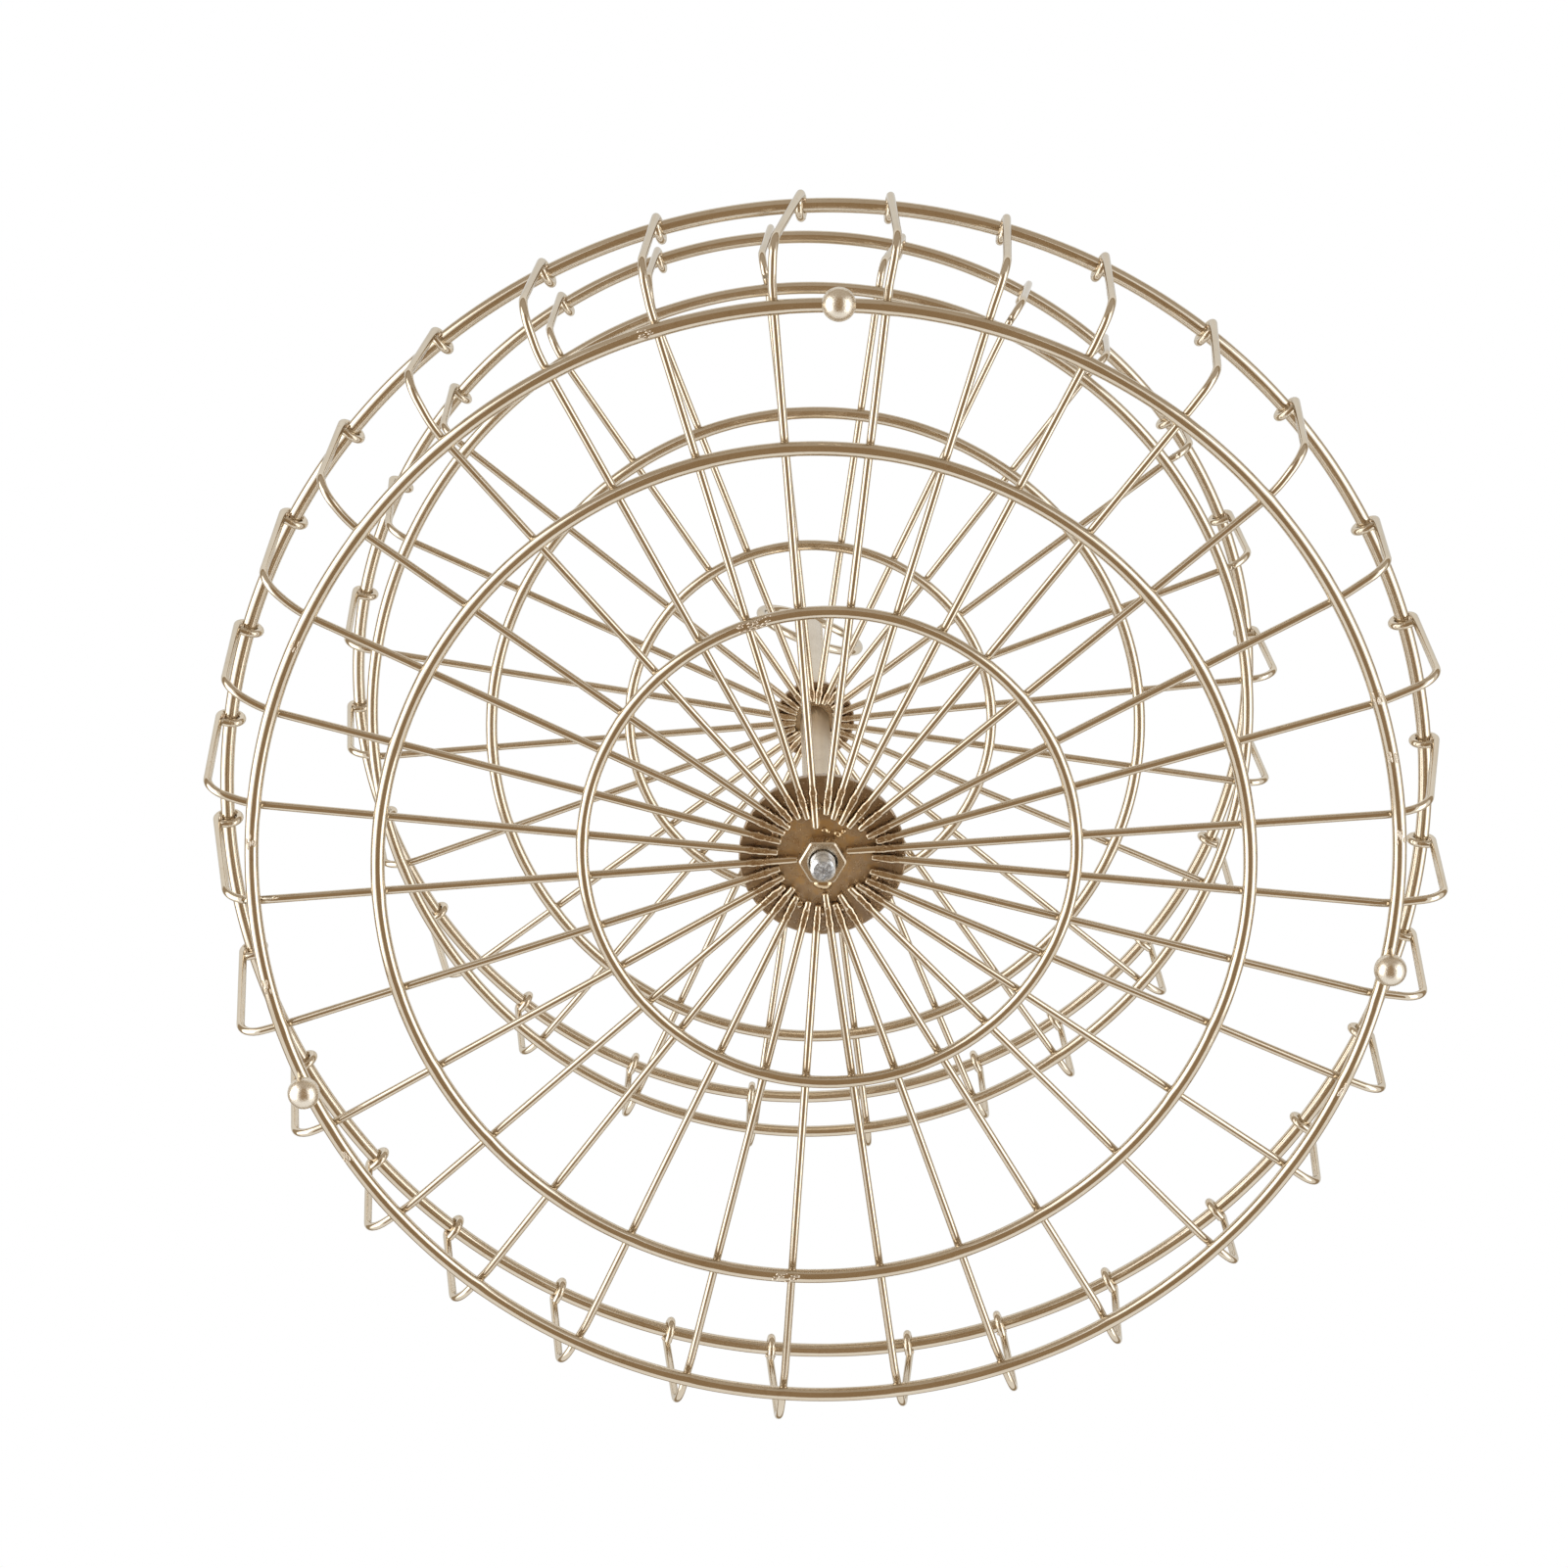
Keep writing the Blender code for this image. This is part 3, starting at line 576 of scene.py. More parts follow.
def section(shape, centre, sideways, upward, sides, flat):
    """A ring of points. Below flat, a share of its half height, the underside is cut level."""
    ring = []
    for angle in angles(sides):
        offset = sideways * cos(angle) + upward * max(sin(angle), -flat)
        ring.append(shape.verts.new(centre + offset))
    return ring


def skin(shape, layer, first, second, radius, from_length, to_length):
    """Quads between two sections, with the unrolled surface in metres as their map."""
    sides = len(first)
    for step in range(sides):
        follow = (step + 1) % sides
        face = shape.faces.new((first[step], first[follow], second[follow], second[step]))
        left = 2 * pi * radius * step / sides
        right = 2 * pi * radius * (step + 1) / sides
        places = ((left, from_length), (right, from_length), (right, to_length), (left, to_length))
        for loop, place in zip(face.loops, places):
            loop[layer].uv = place


def dome(shape, layer, ring, centre, outward, radius, length):
    """The blunt end of a cut wire: a few narrowing rings and a tip."""
    previous = ring
    depth = radius * DOME_SHARE
    for step in range(1, DOME_STEPS):
        angle = pi / 2 * step / DOME_STEPS
        middle = centre + outward * depth * sin(angle)
        share = cos(angle) ** DOME_SQUARENESS
        narrowed = [shape.verts.new(middle + (vert.co - centre) * share) for vert in ring]
        skin(shape, layer, previous, narrowed, radius, length, length)
        previous = narrowed
    tip = shape.verts.new(centre + outward * depth)
    for step in range(len(previous)):
        shape.faces.new((previous[step], previous[(step + 1) % len(previous)], tip))


def add_tube(shape, points, radius, start_up, sides, swell, closed=False):
    """A round wire along a path. swell gives each point's width, height and level underside."""
    layer = shape.loops.layers.uv.verify()
    frames = carried_frames(points, start_up, closed)
    rings = []
    lengths = [0.0]
    for index, (point, (sideways, upward)) in enumerate(zip(points, frames)):
        width, height, flat = swell(point)
        rings.append(section(shape, point, sideways * radius * width, upward * radius * height,
                             sides, flat))
        if index:
            lengths.append(lengths[-1] + (point - points[index - 1]).length)
    if closed:
        rings.append(rings[0])
        lengths.append(lengths[-1] + (points[0] - points[-1]).length)
    for first, second, start, end in zip(rings, rings[1:], lengths, lengths[1:]):
        skin(shape, layer, first, second, radius, start, end)
    if not closed:
        along = tangents(points, False)
        dome(shape, layer, rings[0], points[0], -along[0], radius, 0.0)
        dome(shape, layer, rings[-1], points[-1], along[-1], radius, lengths[-1])


def wobble(point):
    """The slight unevenness of drawn and lacquered wire."""
    return 1.0 + WOBBLE_SHARE * noise.noise(point / WOBBLE_PITCH)


def plain(point):
    return wobble(point), wobble(point), 1.0


def shifted(radius, shift):
    """The middle of a ring that stands off the post's axis by a share of its radius."""
    return Vector((radius * shift[0], radius * shift[1], 0))


def hook_place(tier, index):
    """The rim's middle at a hook, and the way out there."""
    outward = flat_way(tier.hooks[index])
    centre = shifted(tier.rim, tier.rim_shift) + UP * tier.rim_z
    return centre + outward * tier.rim, outward


def floor_run(start, along, length, hub_radius):
    """Points of a rib's straight run, close together under the hub where the wire is pressed."""
    reach = 0.0
    points = []
    while reach < length:
        point = start + along * reach
        points.append(point)
        near_hub = Vector((point.x, point.y)).length < hub_radius + RIB_WIRE
        reach += HUB_STEP if near_hub else STRAIGHT_STEP
    return points


def turn_points(before, corner, after, radius):
    """An arc of a radius round a path's corner, or the corner itself where the path is straight."""
    along = (corner - before).normalized()
    onward = (after - corner).normalized()
    turn = along.angle(onward)
    if turn < SMALL_TURN:
        return [corner]
    across = (onward - along * onward.dot(along)).normalized()
    start = corner - along * radius * tan(turn / 2)
    points = []
    for step in range(BEND_STEPS + 1):
        angle = turn * step / BEND_STEPS
        points.append(start + along * radius * sin(angle)
                      + across * radius * (1 - cos(angle)))
    return points


def hook_points(place, outward, leg):
    """The hook: up outside the rim, over it, down inside it and back under it to its own leg."""
    lean = asin(leg.dot(outward))
    upward = (leg - outward * leg.dot(outward)).normalized()
    sweep = 3 * pi / 2 + lean
    points = []
    for step in range(HOOK_STEPS + 1):
        angle = sweep * step / HOOK_STEPS - lean
        points.append(place + outward * HOOK_RADIUS * cos(angle)
                      + upward * HOOK_RADIUS * sin(angle))
    leg_out = HOOK_RADIUS * (1 - sin(lean)) / cos(lean)
    tail = leg_out - RIB_RADIUS * HOOK_END_GAP_SHARE
    points.append(points[-1] + outward * tail)
    return points


def rib_points(tip, knee, corner, hub_radius, place, outward):
    """A rib's smooth path: out along the floor, up the wall and round the rim."""
    leg = (place + outward * HOOK_RADIUS - corner).normalized()
    curl = hook_points(place, outward, leg)
    soft = turn_points(tip, knee, corner, KNEE_RADIUS)
    bend = turn_points(soft[-1], corner, curl[0], BEND_RADIUS)
    along = (knee - tip).normalized()
    points = floor_run(tip, along, (soft[0] - tip).length, hub_radius)
    return points + soft + bend + straight(bend[-1], curl[0]) + curl


def straight(start, end):
    """Points between two places, without the places themselves."""
    count = ceil((end - start).length / STRAIGHT_STEP)
    return [start.lerp(end, step / count) for step in range(1, count)]


def pressed(hub_radius, tip_reach, seed):
    """How a rib is pressed flat from below, and notched, where it is welded to its hub."""
    shift = PRESS_SHIFT * noise.noise(Vector((seed, *PRESS_NOISE_PLACE)))
    low = hub_radius * PRESS_START_SHARE + shift
    high = hub_radius * PRESS_END_SHARE + shift

    def swell(point):
        reach = Vector((point.x, point.y)).length
        even = wobble(point)
        if reach > high + PRESS_RAMP:
            return even, even, 1.0
        press = min(max(min(reach - low, high - reach) / PRESS_RAMP, 0.0), 1.0)
        near_hub = min(1.0, (high + PRESS_RAMP - reach) / PRESS_RAMP)
        bite = NOTCH_OUTSIDE + (1 - NOTCH_OUTSIDE) * press
        notch = NOTCH_SHARE * noise.noise(point / NOTCH_PITCH) * bite * near_hub
        taper = TIP_TAPER_SHARE * max(0.0, 1.0 - (reach - tip_reach) / TIP_TAPER_LENGTH)
        width = even + PRESS_WIDTH_SHARE * press + notch - taper
        flat = 1.0 - PRESS_DEPTH_SHARE * press * (1.0 + notch)
        return width, even, flat

    return swell


def add_rib(shape, tier, index, tip_deg, tip_reach):
    place, outward = hook_place(tier, index)
    height = UP * (tier.seat + RIB_RISE)
    reach = tier.rim * tier.corners[index]
    corner = flat_way(tier.ribs[index] + tier.turns[index]) * reach + height
    tip = flat_way(tip_deg) * (tip_reach + RIB_RADIUS * DOME_SHARE) + height
    straight_on = flat_way(tier.ribs[index]) * reach + height
    knee = tip.lerp(straight_on, (tier.rim * tier.shares[-1] - tip_reach)
                    / (reach - tip_reach))
    points = rib_points(tip, knee, corner, tier.hub, place, outward)
    add_tube(shape, points, RIB_RADIUS, UP, WIRE_SIDES, pressed(tier.hub, tip_reach, index))


def add_nugget(shape, centre, along, aside, half_sizes, seed):
    """A lump of weld: a ball stretched along two level directions and up, and made uneven."""
    made = bmesh.ops.create_icosphere(shape, subdivisions=NUGGET_DETAIL, radius=1.0)
    for vert in made["verts"]:
        unit = vert.co.normalized()
        stretch = zip((along, aside, UP), half_sizes, unit)
        offset = sum((axis * half * part for axis, half, part in stretch), Vector())
        lump = noise.noise((centre + offset) / NUGGET_LUMP_PITCH + Vector((seed, 0, 0)))
        vert.co = centre + offset * (1.0 + NUGGET_LUMP_SHARE * lump)


def add_lower_ribs(tier):
    for pair in range(len(tier.ribs) // 2):
        name = "lower_rib_pair_%02d" % (pair + 1)
        shape = bmesh.new()
        for index in (2 * pair, 2 * pair + 1):
            add_rib(shape, tier, index, tier.tips[index], tier.tip_reaches[index])
        both = slice(2 * pair, 2 * pair + 2)
        along = flat_way(sum(tier.tips[both]) / 2)
        reach = max(tier.tip_reaches[both]) + RIB_WIRE
        centre = along * reach + UP * (tier.hub_z - FIT_GAP)
        half_sizes = (RIB_RADIUS, RIB_RADIUS, RIB_RADIUS / 2)
        add_nugget(shape, centre, along, UP.cross(along), half_sizes, pair)
        add_wire(name, shape, "lower_wire")


def add_upper_ribs(tier):
    for index, rib_deg in enumerate(tier.ribs):
        shape = bmesh.new()
        scatter = UPPER_TIP_SCATTER * noise.noise(Vector((index, *TIP_NOISE_PLACE)))
        add_rib(shape, tier, index, rib_deg, UPPER_TIP_REACH + scatter)
        add_wire("upper_rib_%02d" % (index + 1), shape, "upper_wire")


def ring_places(tier, number):
    """The radius, centre and wire of one of a tier's floor rings."""
    radius = tier.rim * tier.shares[number]
    return radius, shifted(radius, tier.shifts[number]), tier.wires[number]


def crossings(tier, number):
    """Where each rib crosses one of its tier's floor rings, and the way out there."""
    radius, centre, _ = ring_places(tier, number)
    for rib_deg in tier.ribs:
        along = flat_way(rib_deg)
        toward = centre.dot(along)
        reach = toward + sqrt(radius ** 2 - centre.length_squared + toward ** 2)
        yield along * reach, along


def circle(centre, radius, height):
    return [centre + Vector((radius * cos(angle), radius * sin(angle), height))
            for angle in angles(ceil(2 * pi * radius / RING_STEP))]


def dented(places):
    """A section that is a little flatter at each weld, and uneven elsewhere."""
    def swell(point):
        nearest = min((Vector((point.x, point.y)) - place).length for place in places)
        dent = DENT_SHARE * max(0.0, 1.0 - nearest / DENT_LENGTH)
        return wobble(point) + dent / 2, wobble(point) - dent, 1.0
    return swell


def add_floor_rings(tier):
    for number, label in enumerate(("inner", "middle", "outer")):
        radius, centre, wire = ring_places(tier, number)
        welds = [place.xy for place, _ in crossings(tier, number)]
        shape = bmesh.new()
        points = circle(centre, radius, tier.seat - wire / 2 * FLAT_SHARE)
        add_tube(shape, points, wire / 2, UP, RIM_SIDES, dented(welds), closed=True)
        add_wire("%s_%s_floor_ring" % (tier.name, label), shape, "rim")


def add_rim(tier):
    shape = bmesh.new()
    points = circle(shifted(tier.rim, tier.rim_shift), tier.rim, tier.rim_z)
    add_tube(shape, points, RIM_WIRE_RADIUS, UP, RIM_SIDES, plain, closed=True)
    add_wire(tier.name + "_rim_ring", shape, "rim")


def add_welds(tier):
    """The nuggets where ribs cross the floor rings, and where the hooks sit on the rim."""
    floor = bmesh.new()
    for number in range(len(tier.shares)):
        for index, (place, along) in enumerate(crossings(tier, number)):
            centre = place + UP * tier.seat
            add_nugget(floor, centre, UP.cross(along), along, FLOOR_NUGGET, index + number)
    hooks = bmesh.new()
    for index in range(len(tier.hooks)):
        place, outward = hook_place(tier, index)
        centre = place + (outward - UP) * HOOK_NUGGET_PLACE
        add_nugget(hooks, centre, UP.cross(outward), outward, HOOK_NUGGET, index)
    for shape, label in ((floor, "_floor_welds"), (hooks, "_hook_welds")):
        name = tier.name + label
        add_piece(name, mesh_of(shape, name), "weld")


def add_lacquer_beads(tier):
    """Beads of lacquer round the nut."""
    beads = bmesh.new()
    for number, (bearing_deg, reach, half_sizes) in enumerate(LACQUER_BEADS):
        along = flat_way(bearing_deg)
        centre = along * reach + UP * (tier.hub_z - half_sizes[2] / 2)
        add_nugget(beads, centre, UP.cross(along), along, half_sizes, number)
    add_piece("lacquer_beads", mesh_of(beads, "lacquer beads"), "bead", slot="gold_hub")


def add_weld_spatter(tier):
    """Fine beads on the ribs' pressed stretches, and clusters of them on the disc."""
    chance = noise.random
    noise.seed_set(SPATTER_SEED)
    spatter = bmesh.new()
    low = tier.hub * PRESS_START_SHARE
    for index, bearing_deg in enumerate(tier.tips):
        for _ in range(SPATTER_ON_RIBS):
            reach = low + (tier.hub - low) * chance()
            share = (reach - tier.tip_reaches[index]) / (tier.rim - tier.tip_reaches[index])
            along = flat_way(bearing_deg + (tier.ribs[index] - bearing_deg) * share)
            aside = UP.cross(along) * RIB_RADIUS * (2 * chance() - 1)
            height = tier.seat + RIB_RISE - RIB_RADIUS * (1 - PRESS_DEPTH_SHARE)
            add_spatter(spatter, along * reach + aside + UP * height, chance())
    for bearing_deg in SPATTER_CLUSTERS_DEG:
        middle = flat_way(bearing_deg) * tier.hub * SPATTER_CLUSTER_SHARE
        for _ in range(SPATTER_PER_CLUSTER):
            offset = Vector((2 * chance() - 1, 2 * chance() - 1, 0)) * SPATTER_CLUSTER_SPREAD
            add_spatter(spatter, middle + offset + UP * tier.hub_z, chance())
    add_piece("weld_spatter", mesh_of(spatter, "weld spatter"), "bead")


def add_scars(tier):
    """Rough little patches of lumps on the rings' undersides."""
    scars = bmesh.new()
    for number, bearings in RING_SCARS:
        radius, centre, wire = ring_places(tier, number)
        for bearing_deg in bearings:
            for lump in range(SCAR_LUMPS):
                along = SCAR_SPREAD[0] * (2 * noise.random() - 1)
                across = SCAR_SPREAD[1] * (2 * noise.random() - 1)
                out = flat_way(bearing_deg + degrees(along / radius))
                drop = wire / 2 * FLAT_SHARE + sqrt((wire / 2) ** 2 - across ** 2)
                place = centre + out * (radius + across) + UP * (tier.seat - drop)
                add_nugget(scars, place, UP.cross(out), out, SCAR_LUMP, lump)
    name = tier.name + "_ring_scars"
    add_piece(name, mesh_of(scars, name), "scar")


def add_spatter(shape, centre, share):
    radius = SPATTER_RADII[0] + (SPATTER_RADII[1] - SPATTER_RADII[0]) * share ** 2
    place = Matrix.Translation(centre)
    bmesh.ops.create_icosphere(shape, subdivisions=1, radius=radius, matrix=place)


def level_ring(shape, height, count, reach):
    """A level ring of points, each as far out as reach says for its angle."""
    ring = []
    for angle in angles(count):
        out = reach(angle)
        ring.append(shape.verts.new((out * cos(angle), out * sin(angle), height)))
    return ring


def turned_mesh(name, profile, sharp_deg=None, ring=False):
    """A mesh turned about Z from (radius, height) points, with its unrolled surface as its map.

    A point with a third entry, a function of the angle, is that many times as far out there.
    """
    shape = bmesh.new()
    layer = shape.loops.layers.uv.verify()
    rows = []
    for radius, height, *outline in profile:
        if radius == 0:
            rows.append([shape.verts.new((0, 0, height))] * TURNED_SEGMENTS)
        else:
            share = outline[0] if outline else lambda angle: 1.0
            rows.append(level_ring(shape, height, TURNED_SEGMENTS,
                                   lambda angle: radius * share(angle)))
    if ring:
        profile = profile + profile[:1]
        rows.append(rows[0])
    for before, after, first, second in zip(profile, profile[1:], rows, rows[1:]):
        turned_band(shape, layer, first, second, max(before[0], after[0]), before[1] - before[0],
                    after[1] - after[0])
    return mesh_of(shape, name, sharp_deg)


def turned_band(shape, layer, first, second, radius, from_length, to_length):
    for step in range(TURNED_SEGMENTS):
        follow = (step + 1) % TURNED_SEGMENTS
        corners = []
        places = []
        for row, number, length in ((first, step, from_length), (first, follow, from_length),
                                    (second, follow, to_length), (second, step, to_length)):
            if row[number] not in corners:
                corners.append(row[number])
                wrapped = TURNED_SEGMENTS if number == 0 and step else number
                places.append((2 * pi * radius * wrapped / TURNED_SEGMENTS, length))
        face = shape.faces.new(corners)
        for loop, place in zip(face.loops, places):
            loop[layer].uv = place


def round_corner(radius, height, edge, start):
    """A turned outline's quarter round, clockwise from an angle."""
    points = []
    for step in range(ROUND_STEPS + 1):
        angle = start - pi / 2 * step / ROUND_STEPS
        points.append((radius + edge * cos(angle), height + edge * sin(angle)))
    return points


def add_hub(tier):
    name = tier.name + "_hub_disc"
    outer = tier.hub - HUB_EDGE
    low = tier.hub_z
    high = low + HUB_THICKNESS
    profile = [(BORE_RADIUS, high), *round_corner(outer, high - HUB_EDGE, HUB_EDGE, pi / 2),
               *round_corner(outer, low + HUB_EDGE, HUB_EDGE, 0), (BORE_RADIUS, low)]
    mesh = turned_mesh(name, profile, HUB_SHARP_DEG, ring=True)
    add_piece(name + "_plate", mesh, tier.name + "_hub", name, slot="gold_hub")


def add_posts():
    top = UPPER_TIER.hub_z - FIT_GAP
    profile = [(BORE_RADIUS, top), (POST_RADIUS, top), (POST_RADIUS, LOWER_POST_Z),
               (BORE_RADIUS, LOWER_POST_Z)]
    add_piece("lower_post_sleeve", turned_mesh("lower post", profile, SHARP_DEG, ring=True),
              "post", "lower_post_tube", slot="gold_post")
    edge = POST_TIP_EDGE
    bore_end = UPPER_POST_Z + UPPER_POST_BORE_DEPTH
    profile = [(0, POST_TIP_Z),
               *round_corner(POST_RADIUS - edge, POST_TIP_Z - edge, edge, pi / 2),
               (POST_RADIUS, UPPER_POST_Z), (BORE_RADIUS, UPPER_POST_Z), (BORE_RADIUS, bore_end),
               (0, bore_end)]
    mesh = drilled(turned_mesh("upper post", profile, SHARP_DEG))
    add_piece("upper_post_shaft", mesh, "post", "upper_post_rod", slot="gold_post")


def drilled(mesh):
    """The upper post's mesh with the handle's cross hole cut through it."""
    post = linked("drilled post", mesh)
    reach = 2 * POST_RADIUS
    drill = linked("drill", turned_mesh("drill", [
        (0, reach), (HANDLE_HOLE_RADIUS, reach), (HANDLE_HOLE_RADIUS, -reach), (0, -reach)]))
    drill.matrix_world = Matrix.Translation((0, 0, HANDLE_Z)) @ Matrix.Rotation(pi / 2, 4, "Y")
    cut = post.modifiers.new("cut", "BOOLEAN")
    cut.operation = "DIFFERENCE"
    cut.solver = "EXACT"
    cut.object = drill
    graph = bpy.context.evaluated_depsgraph_get()
    result = bpy.data.meshes.new_from_object(post.evaluated_get(graph))
    for item in (post, drill):
        bpy.data.objects.remove(item, do_unlink=True)
    result.set_sharp_from_angle(angle=radians(SHARP_DEG))
    return result


def thread_depth(height, angle):
    """How deep the thread is cut at a place: a 60 degree groove with a flat crest and root."""
    phase = (height / THREAD_PITCH - angle / (2 * pi)) % 1.0
    groove = 1.0 - abs(2.0 * phase - 1.0)
    return THREAD_DEPTH * min(max((groove - THREAD_CREST) / THREAD_FLANKS, 0.0), 1.0)


def rod_radius(height, angle):
    """The rod's radius: a plain end with its edge turned off, the thread, and the plain shank."""
    from_end = height - ROD_BOTTOM_Z
    radius = ROD_RADIUS
    if ROD_PLAIN_END < from_end and height < LOWER_POST_Z:
        radius -= thread_depth(height, angle)
    limit = ROD_RADIUS - ROD_TIP_EDGE + from_end
    return min(radius, limit)


def rod_heights():
    """Close together along the thread, and one at the plain shank's end."""
    step = THREAD_PITCH / THREAD_ROWS_PER_PITCH
    rows = ceil((LOWER_POST_Z + THREAD_PITCH - ROD_BOTTOM_Z) / step)
    return [ROD_BOTTOM_Z + row * step for row in range(rows + 1)] + [ROD_TOP_Z]


def add_tie_rod():
    shape = bmesh.new()
    rows = [level_ring(shape, height, THREAD_SEGMENTS, lambda angle: rod_radius(height, angle))
            for height in rod_heights()]
    for first, second in zip(rows, rows[1:]):
        for step in range(THREAD_SEGMENTS):
            follow = (step + 1) % THREAD_SEGMENTS
            shape.faces.new((first[step], first[follow], second[follow], second[step]))
    shape.faces.new(rows[0])
    shape.faces.new(rows[-1])
    mesh = mesh_of(shape, "tie rod", SHARP_DEG)
    add_piece("threaded_tie_rod", mesh, "zinc", "tie_rod", slot="zinc_rod")
    mesh.materials.append(FINISHES["sawn"])
    for face in mesh.polygons:
        if face.center.z < ROD_BOTTOM_Z + FIT_GAP / 2:
            face.material_index = 1


def hexagon(angle):
    """How much further out than its flats a hexagon is, its corners slightly turned off."""
    sixth = pi / 3
    from_flat = (angle + sixth / 2) % sixth - sixth / 2
    return min(1.0 / cos(from_flat), NUT_CORNER_SHARE)


def add_nut():
    """A hexagon nut with bevelled edges, its bore opened out at its lower end."""
    low = NUT_TOP_Z - NUT_HEIGHT
    half = NUT_WIDTH / 2
    profile = [
        (BORE_RADIUS, NUT_TOP_Z), (half - NUT_BEVEL, NUT_TOP_Z, hexagon),
        (half, NUT_TOP_Z - NUT_BEVEL, hexagon), (half, low + NUT_BEVEL, hexagon),
        (half - NUT_BEVEL, low, hexagon), (BORE_RADIUS + NUT_BEVEL, low),
        (BORE_RADIUS, low + NUT_BEVEL),
    ]
    mesh = turned_mesh("hex nut", profile, NUT_SHARP_DEG, ring=True)
    mesh.transform(Matrix.Rotation(radians(NUT_TURN_DEG), 4, "Z"))
    add_piece("hex_nut_body", mesh, "nut", "hex_nut", slot="gold_nut")


def add_feet(tier):
    """Balls that stand on their lowest point, a little flattened there."""
    radius, centre, _ = ring_places(tier, -1)
    middle_z = sqrt(FOOT_RADIUS ** 2 - FOOT_FLAT_RADIUS ** 2)
    profile = []
    for step in range(FOOT_STEPS + 1):
        angle = pi * step / FOOT_STEPS
        half_height = FOOT_RADIUS if 2 * step < FOOT_STEPS else middle_z
        reach = FOOT_RADIUS * sin(angle) if 0 < step < FOOT_STEPS else 0
        profile.append((reach, half_height * cos(angle)))
    for index, bearing_deg in enumerate(FOOT_BEARINGS_DEG):
        name = "ball_foot_%d" % (index + 1)
        mesh = turned_mesh(name, profile)
        place = centre + flat_way(bearing_deg) * (radius + FOOT_OFFSETS[index]) + UP * middle_z
        mesh.transform(Matrix.Translation(place))
        add_piece(name + "_ball", mesh, "foot", name)


def add_handle():
    """The ring handle, its points twice as close together as the trays' rings have them."""
    shape = bmesh.new()
    points = []
    for angle in angles(2 * ceil(2 * pi * HANDLE_RADIUS / RING_STEP)):
        points.append(Vector((HANDLE_RADIUS * cos(angle), 0,
                              HANDLE_Z + HANDLE_RADIUS * (1 + sin(angle)))))
    add_tube(shape, points, HANDLE_WIRE / 2, Vector((0, 1, 0)), RIM_SIDES, plain, closed=True)
    add_piece("ring_handle_wire", mesh_of(shape, "ring handle"), "rim", "ring_handle",
              body="handle")


# Studio

def add_camera():
    data = bpy.data.cameras.new("photo camera")
    data.lens = CAMERA_LENS_MM
    data.sensor_width = CAMERA_SENSOR_MM
    camera = linked("photo camera", data)
    camera.location = CAMERA_PLACE
    camera.rotation_euler = [radians(angle) for angle in CAMERA_TURN_DEG]
    bpy.context.scene.camera = camera


def add_lamp(name, place, target, size, power, mirrored=True):
    data = bpy.data.lights.new(name, "AREA")
    data.shape = "RECTANGLE"
    data.size, data.size_y = size
    data.energy = power
    lamp = linked(name, data)
    lamp.location = place
    lamp.rotation_euler = (target - place).to_track_quat("-Z", "Y").to_euler()
    lamp.visible_camera = False
    lamp.visible_glossy = mirrored


def photo_ways():
    """The level directions of the photograph's left and top."""
    left = flat_way(PHOTO_LEFT_DEG)
    return left, UP.cross(left)


def add_lamps():
    left, toward_top = photo_ways()
    for number, side in enumerate((left, -left)):
        place = side * SIDE_LAMP_DISTANCE + UP * SIDE_LAMP_HEIGHTS[number]
        shift = toward_top * SIDE_LAMP_SHIFTS[number]
        add_lamp("side lamp %d" % (number + 1), place + shift, shift, SIDE_LAMP_SIZES[number],
                 SIDE_LAMP_POWERS[number])
    add_lamp("top lamp", UP * TOP_LAMP_HEIGHT, Vector(), TOP_LAMP_SIZE, TOP_LAMP_POWER, False)


def add_card(name, corners, colour, faces=((0, 1, 2, 3),)):
    """A plain card, hidden from the camera, that the metal mirrors."""
    mesh = bpy.data.meshes.new(name)
    mesh.from_pydata(corners, [], faces)
    card = linked(name, mesh)
    material, tree = new_material(name)
    set_shader(tree, {"Base Color": BLACK, "Specular IOR Level": 0.0,
                      "Emission Color": colour, "Emission Strength": 1.0})
    mesh.materials.append(material)
    card.visible_camera = False
    card.visible_diffuse = False
    card.visible_shadow = False


def add_cards():
    """A dark card behind the camera, a grey one past the photograph's top side, a band all round.

    The band is what the wires mirror when they are looked at from above.
    """
    left, toward_top = photo_ways()
    half = left * CARD_WIDTH / 2
    top, bottom = (-toward_top * reach - UP * CARD_DEPTH for reach in CARD_REACH)
    add_card("dark_card", [top - half, top + half, bottom + half, bottom - half], CARD_COLOUR)
    half = left * FLAG_WIDTH / 2
    low, high = (toward_top * FLAG_DISTANCE + UP * height for height in FLAG_HEIGHTS)
    add_card("grey_card", [low - half, low + half, high + half, high - half], FLAG_COLOUR)
    corners = []
    faces = []
    for step, angle in enumerate(angles(BAND_SEGMENTS)):
        out = flat_way(degrees(angle)) * BAND_RADIUS
        corners += [out + UP * height for height in BAND_HEIGHTS]
        onward = 2 * ((step + 1) % BAND_SEGMENTS)
        faces.append((2 * step, onward, onward + 1, 2 * step + 1))
    add_card("band_card", corners, BAND_COLOUR, faces)


def ray_seen(tree, outputs):
    """1 where any of these kinds of ray looks, else 0."""
    path = add_node(tree, "ShaderNodeLightPath")
    total = path.outputs[outputs[0]]
    for output in outputs[1:]:
        total = greater(total, path.outputs[output])
    return total


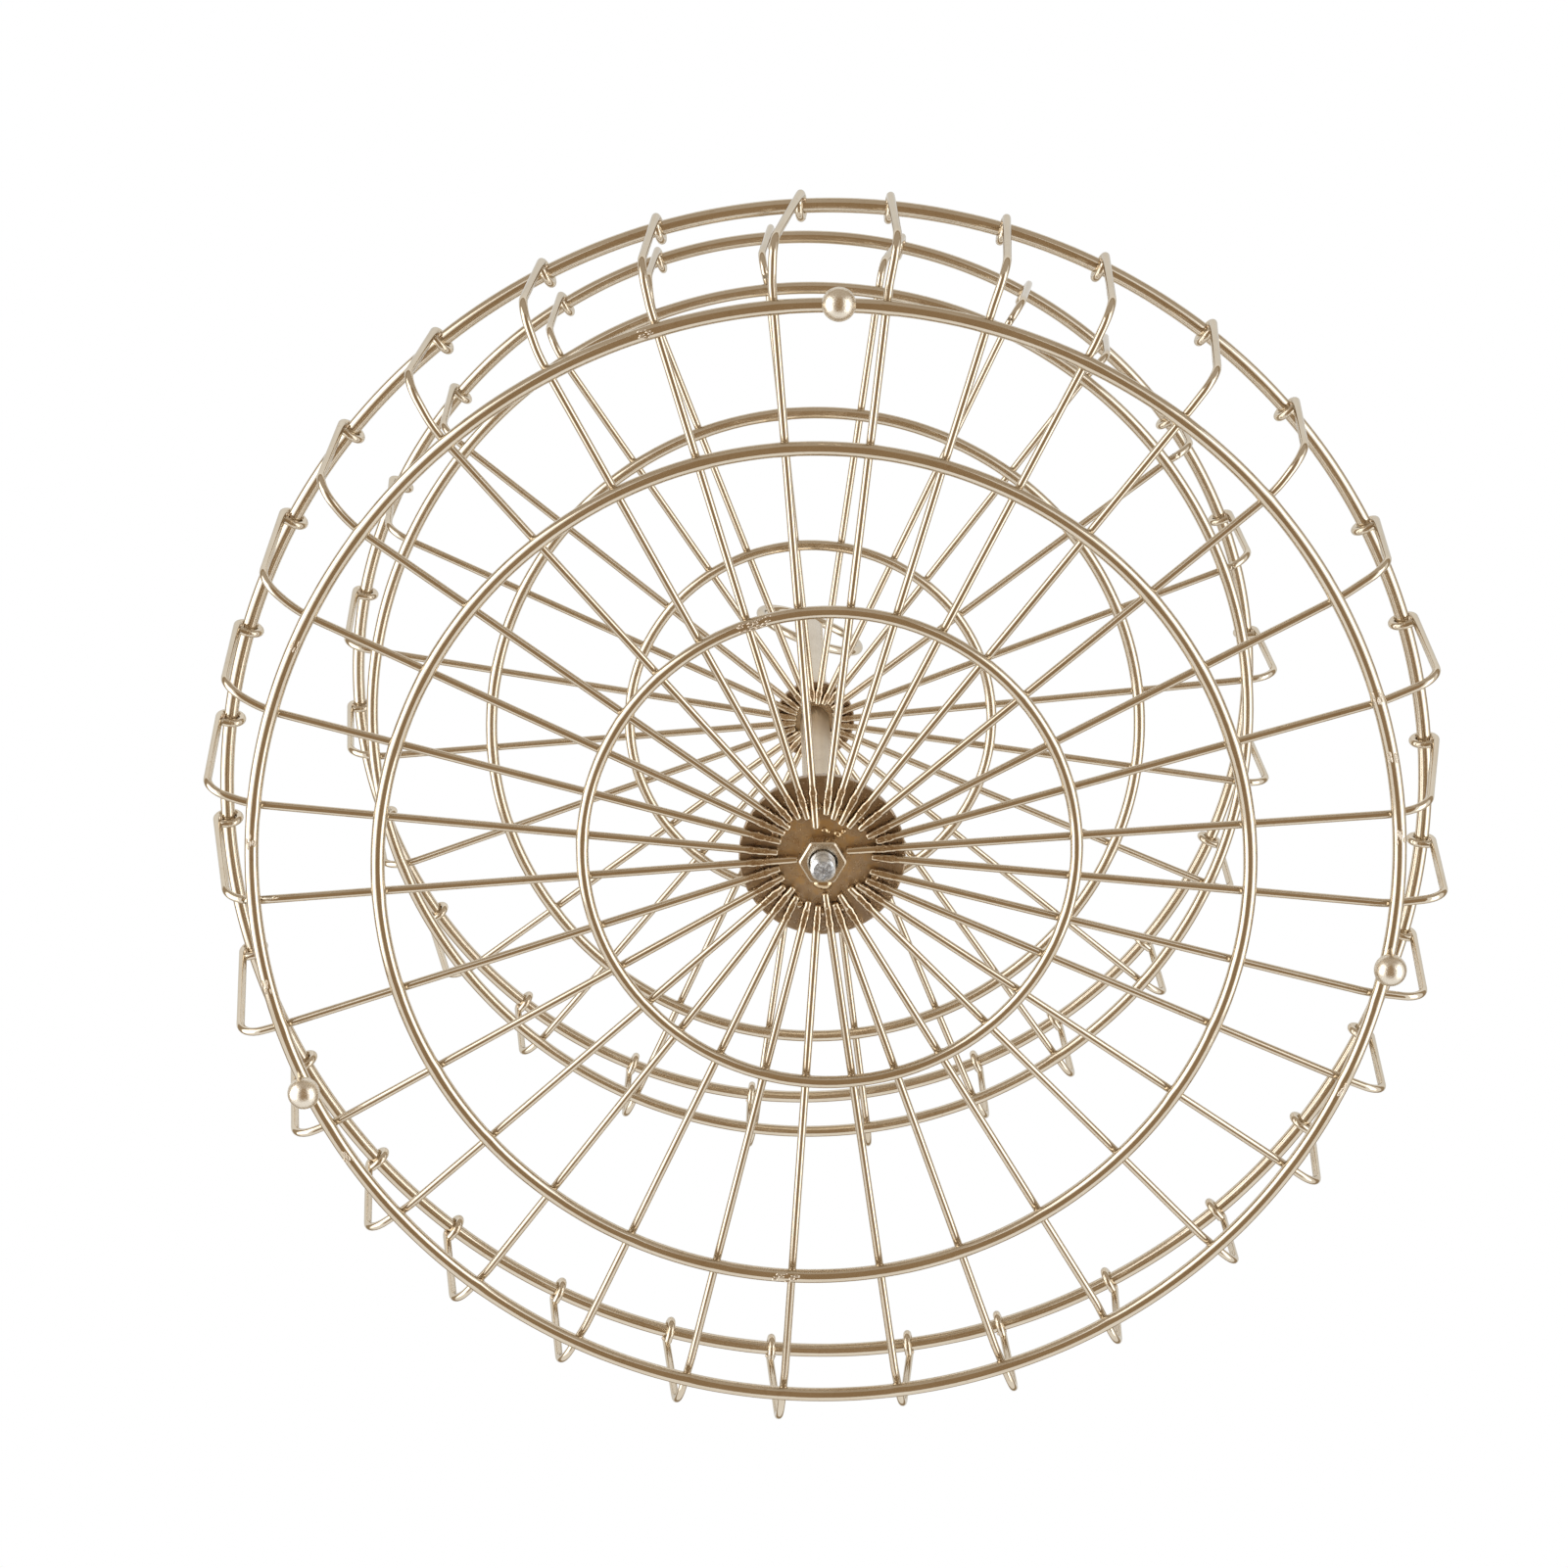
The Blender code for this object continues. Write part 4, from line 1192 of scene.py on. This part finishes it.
def set_world():
    world = bpy.data.worlds.new("white studio")
    world.use_nodes = True
    tree = world.node_tree
    seen = ray_seen(tree, ("Is Camera Ray", "Is Glossy Ray", "Is Transmission Ray"))
    background = tree.nodes["Background"].inputs
    feed(background["Color"], (1.0, 1.0, 1.0))
    feed(background["Strength"], remapped(seen, 0.0, 1.0, at_low=WORLD_AMBIENT))
    bpy.context.scene.world = world
    bpy.context.scene.view_settings.view_transform = "Standard"


def add_floor():
    """A pale floor under the feet, clear when it is looked at from below."""
    mesh = bpy.data.meshes.new("studio floor")
    shape = bmesh.new()
    bmesh.ops.create_circle(shape, cap_ends=True, segments=FLOOR_SEGMENTS, radius=FLOOR_SIZE / 2)
    shape.to_mesh(mesh)
    shape.free()
    floor = linked("studio_floor", mesh)
    material, tree = new_material("pale floor")
    set_shader(tree, {"Roughness": FLOOR_ROUGHNESS, "Base Color": FLOOR_COLOUR})
    pale = tree.nodes["Principled BSDF"].outputs[0]
    white = add_node(tree, "ShaderNodeEmission").outputs[0]
    clear = add_node(tree, "ShaderNodeBsdfTransparent").outputs[0]
    fade = remapped(reach_of(solid_place(tree)), *FLOOR_FADE)
    far = add_node(tree, "ShaderNodeMixShader", {"Fac": fade, 1: pale, 2: white}).outputs[0]
    below = add_node(tree, "ShaderNodeNewGeometry").outputs["Backfacing"]
    unseen = ray_seen(tree, ("Is Shadow Ray", "Is Glossy Ray", "Is Transmission Ray"))
    inputs = {"Fac": greater(below, unseen), 1: far, 2: clear}
    blend = add_node(tree, "ShaderNodeMixShader", inputs).outputs[0]
    feed(tree.nodes["Material Output"].inputs["Surface"], blend)
    mesh.materials.append(material)


def build():
    for tier in (LOWER_TIER, UPPER_TIER):
        add_floor_rings(tier)
        add_rim(tier)
        add_welds(tier)
        add_hub(tier)
    add_lower_ribs(LOWER_TIER)
    add_upper_ribs(UPPER_TIER)
    add_posts()
    add_tie_rod()
    add_nut()
    add_lacquer_beads(LOWER_TIER)
    add_weld_spatter(LOWER_TIER)
    add_scars(LOWER_TIER)
    add_feet(LOWER_TIER)
    add_handle()
    add_camera()
    add_lamps()
    add_cards()
    set_world()
    add_floor()


build()
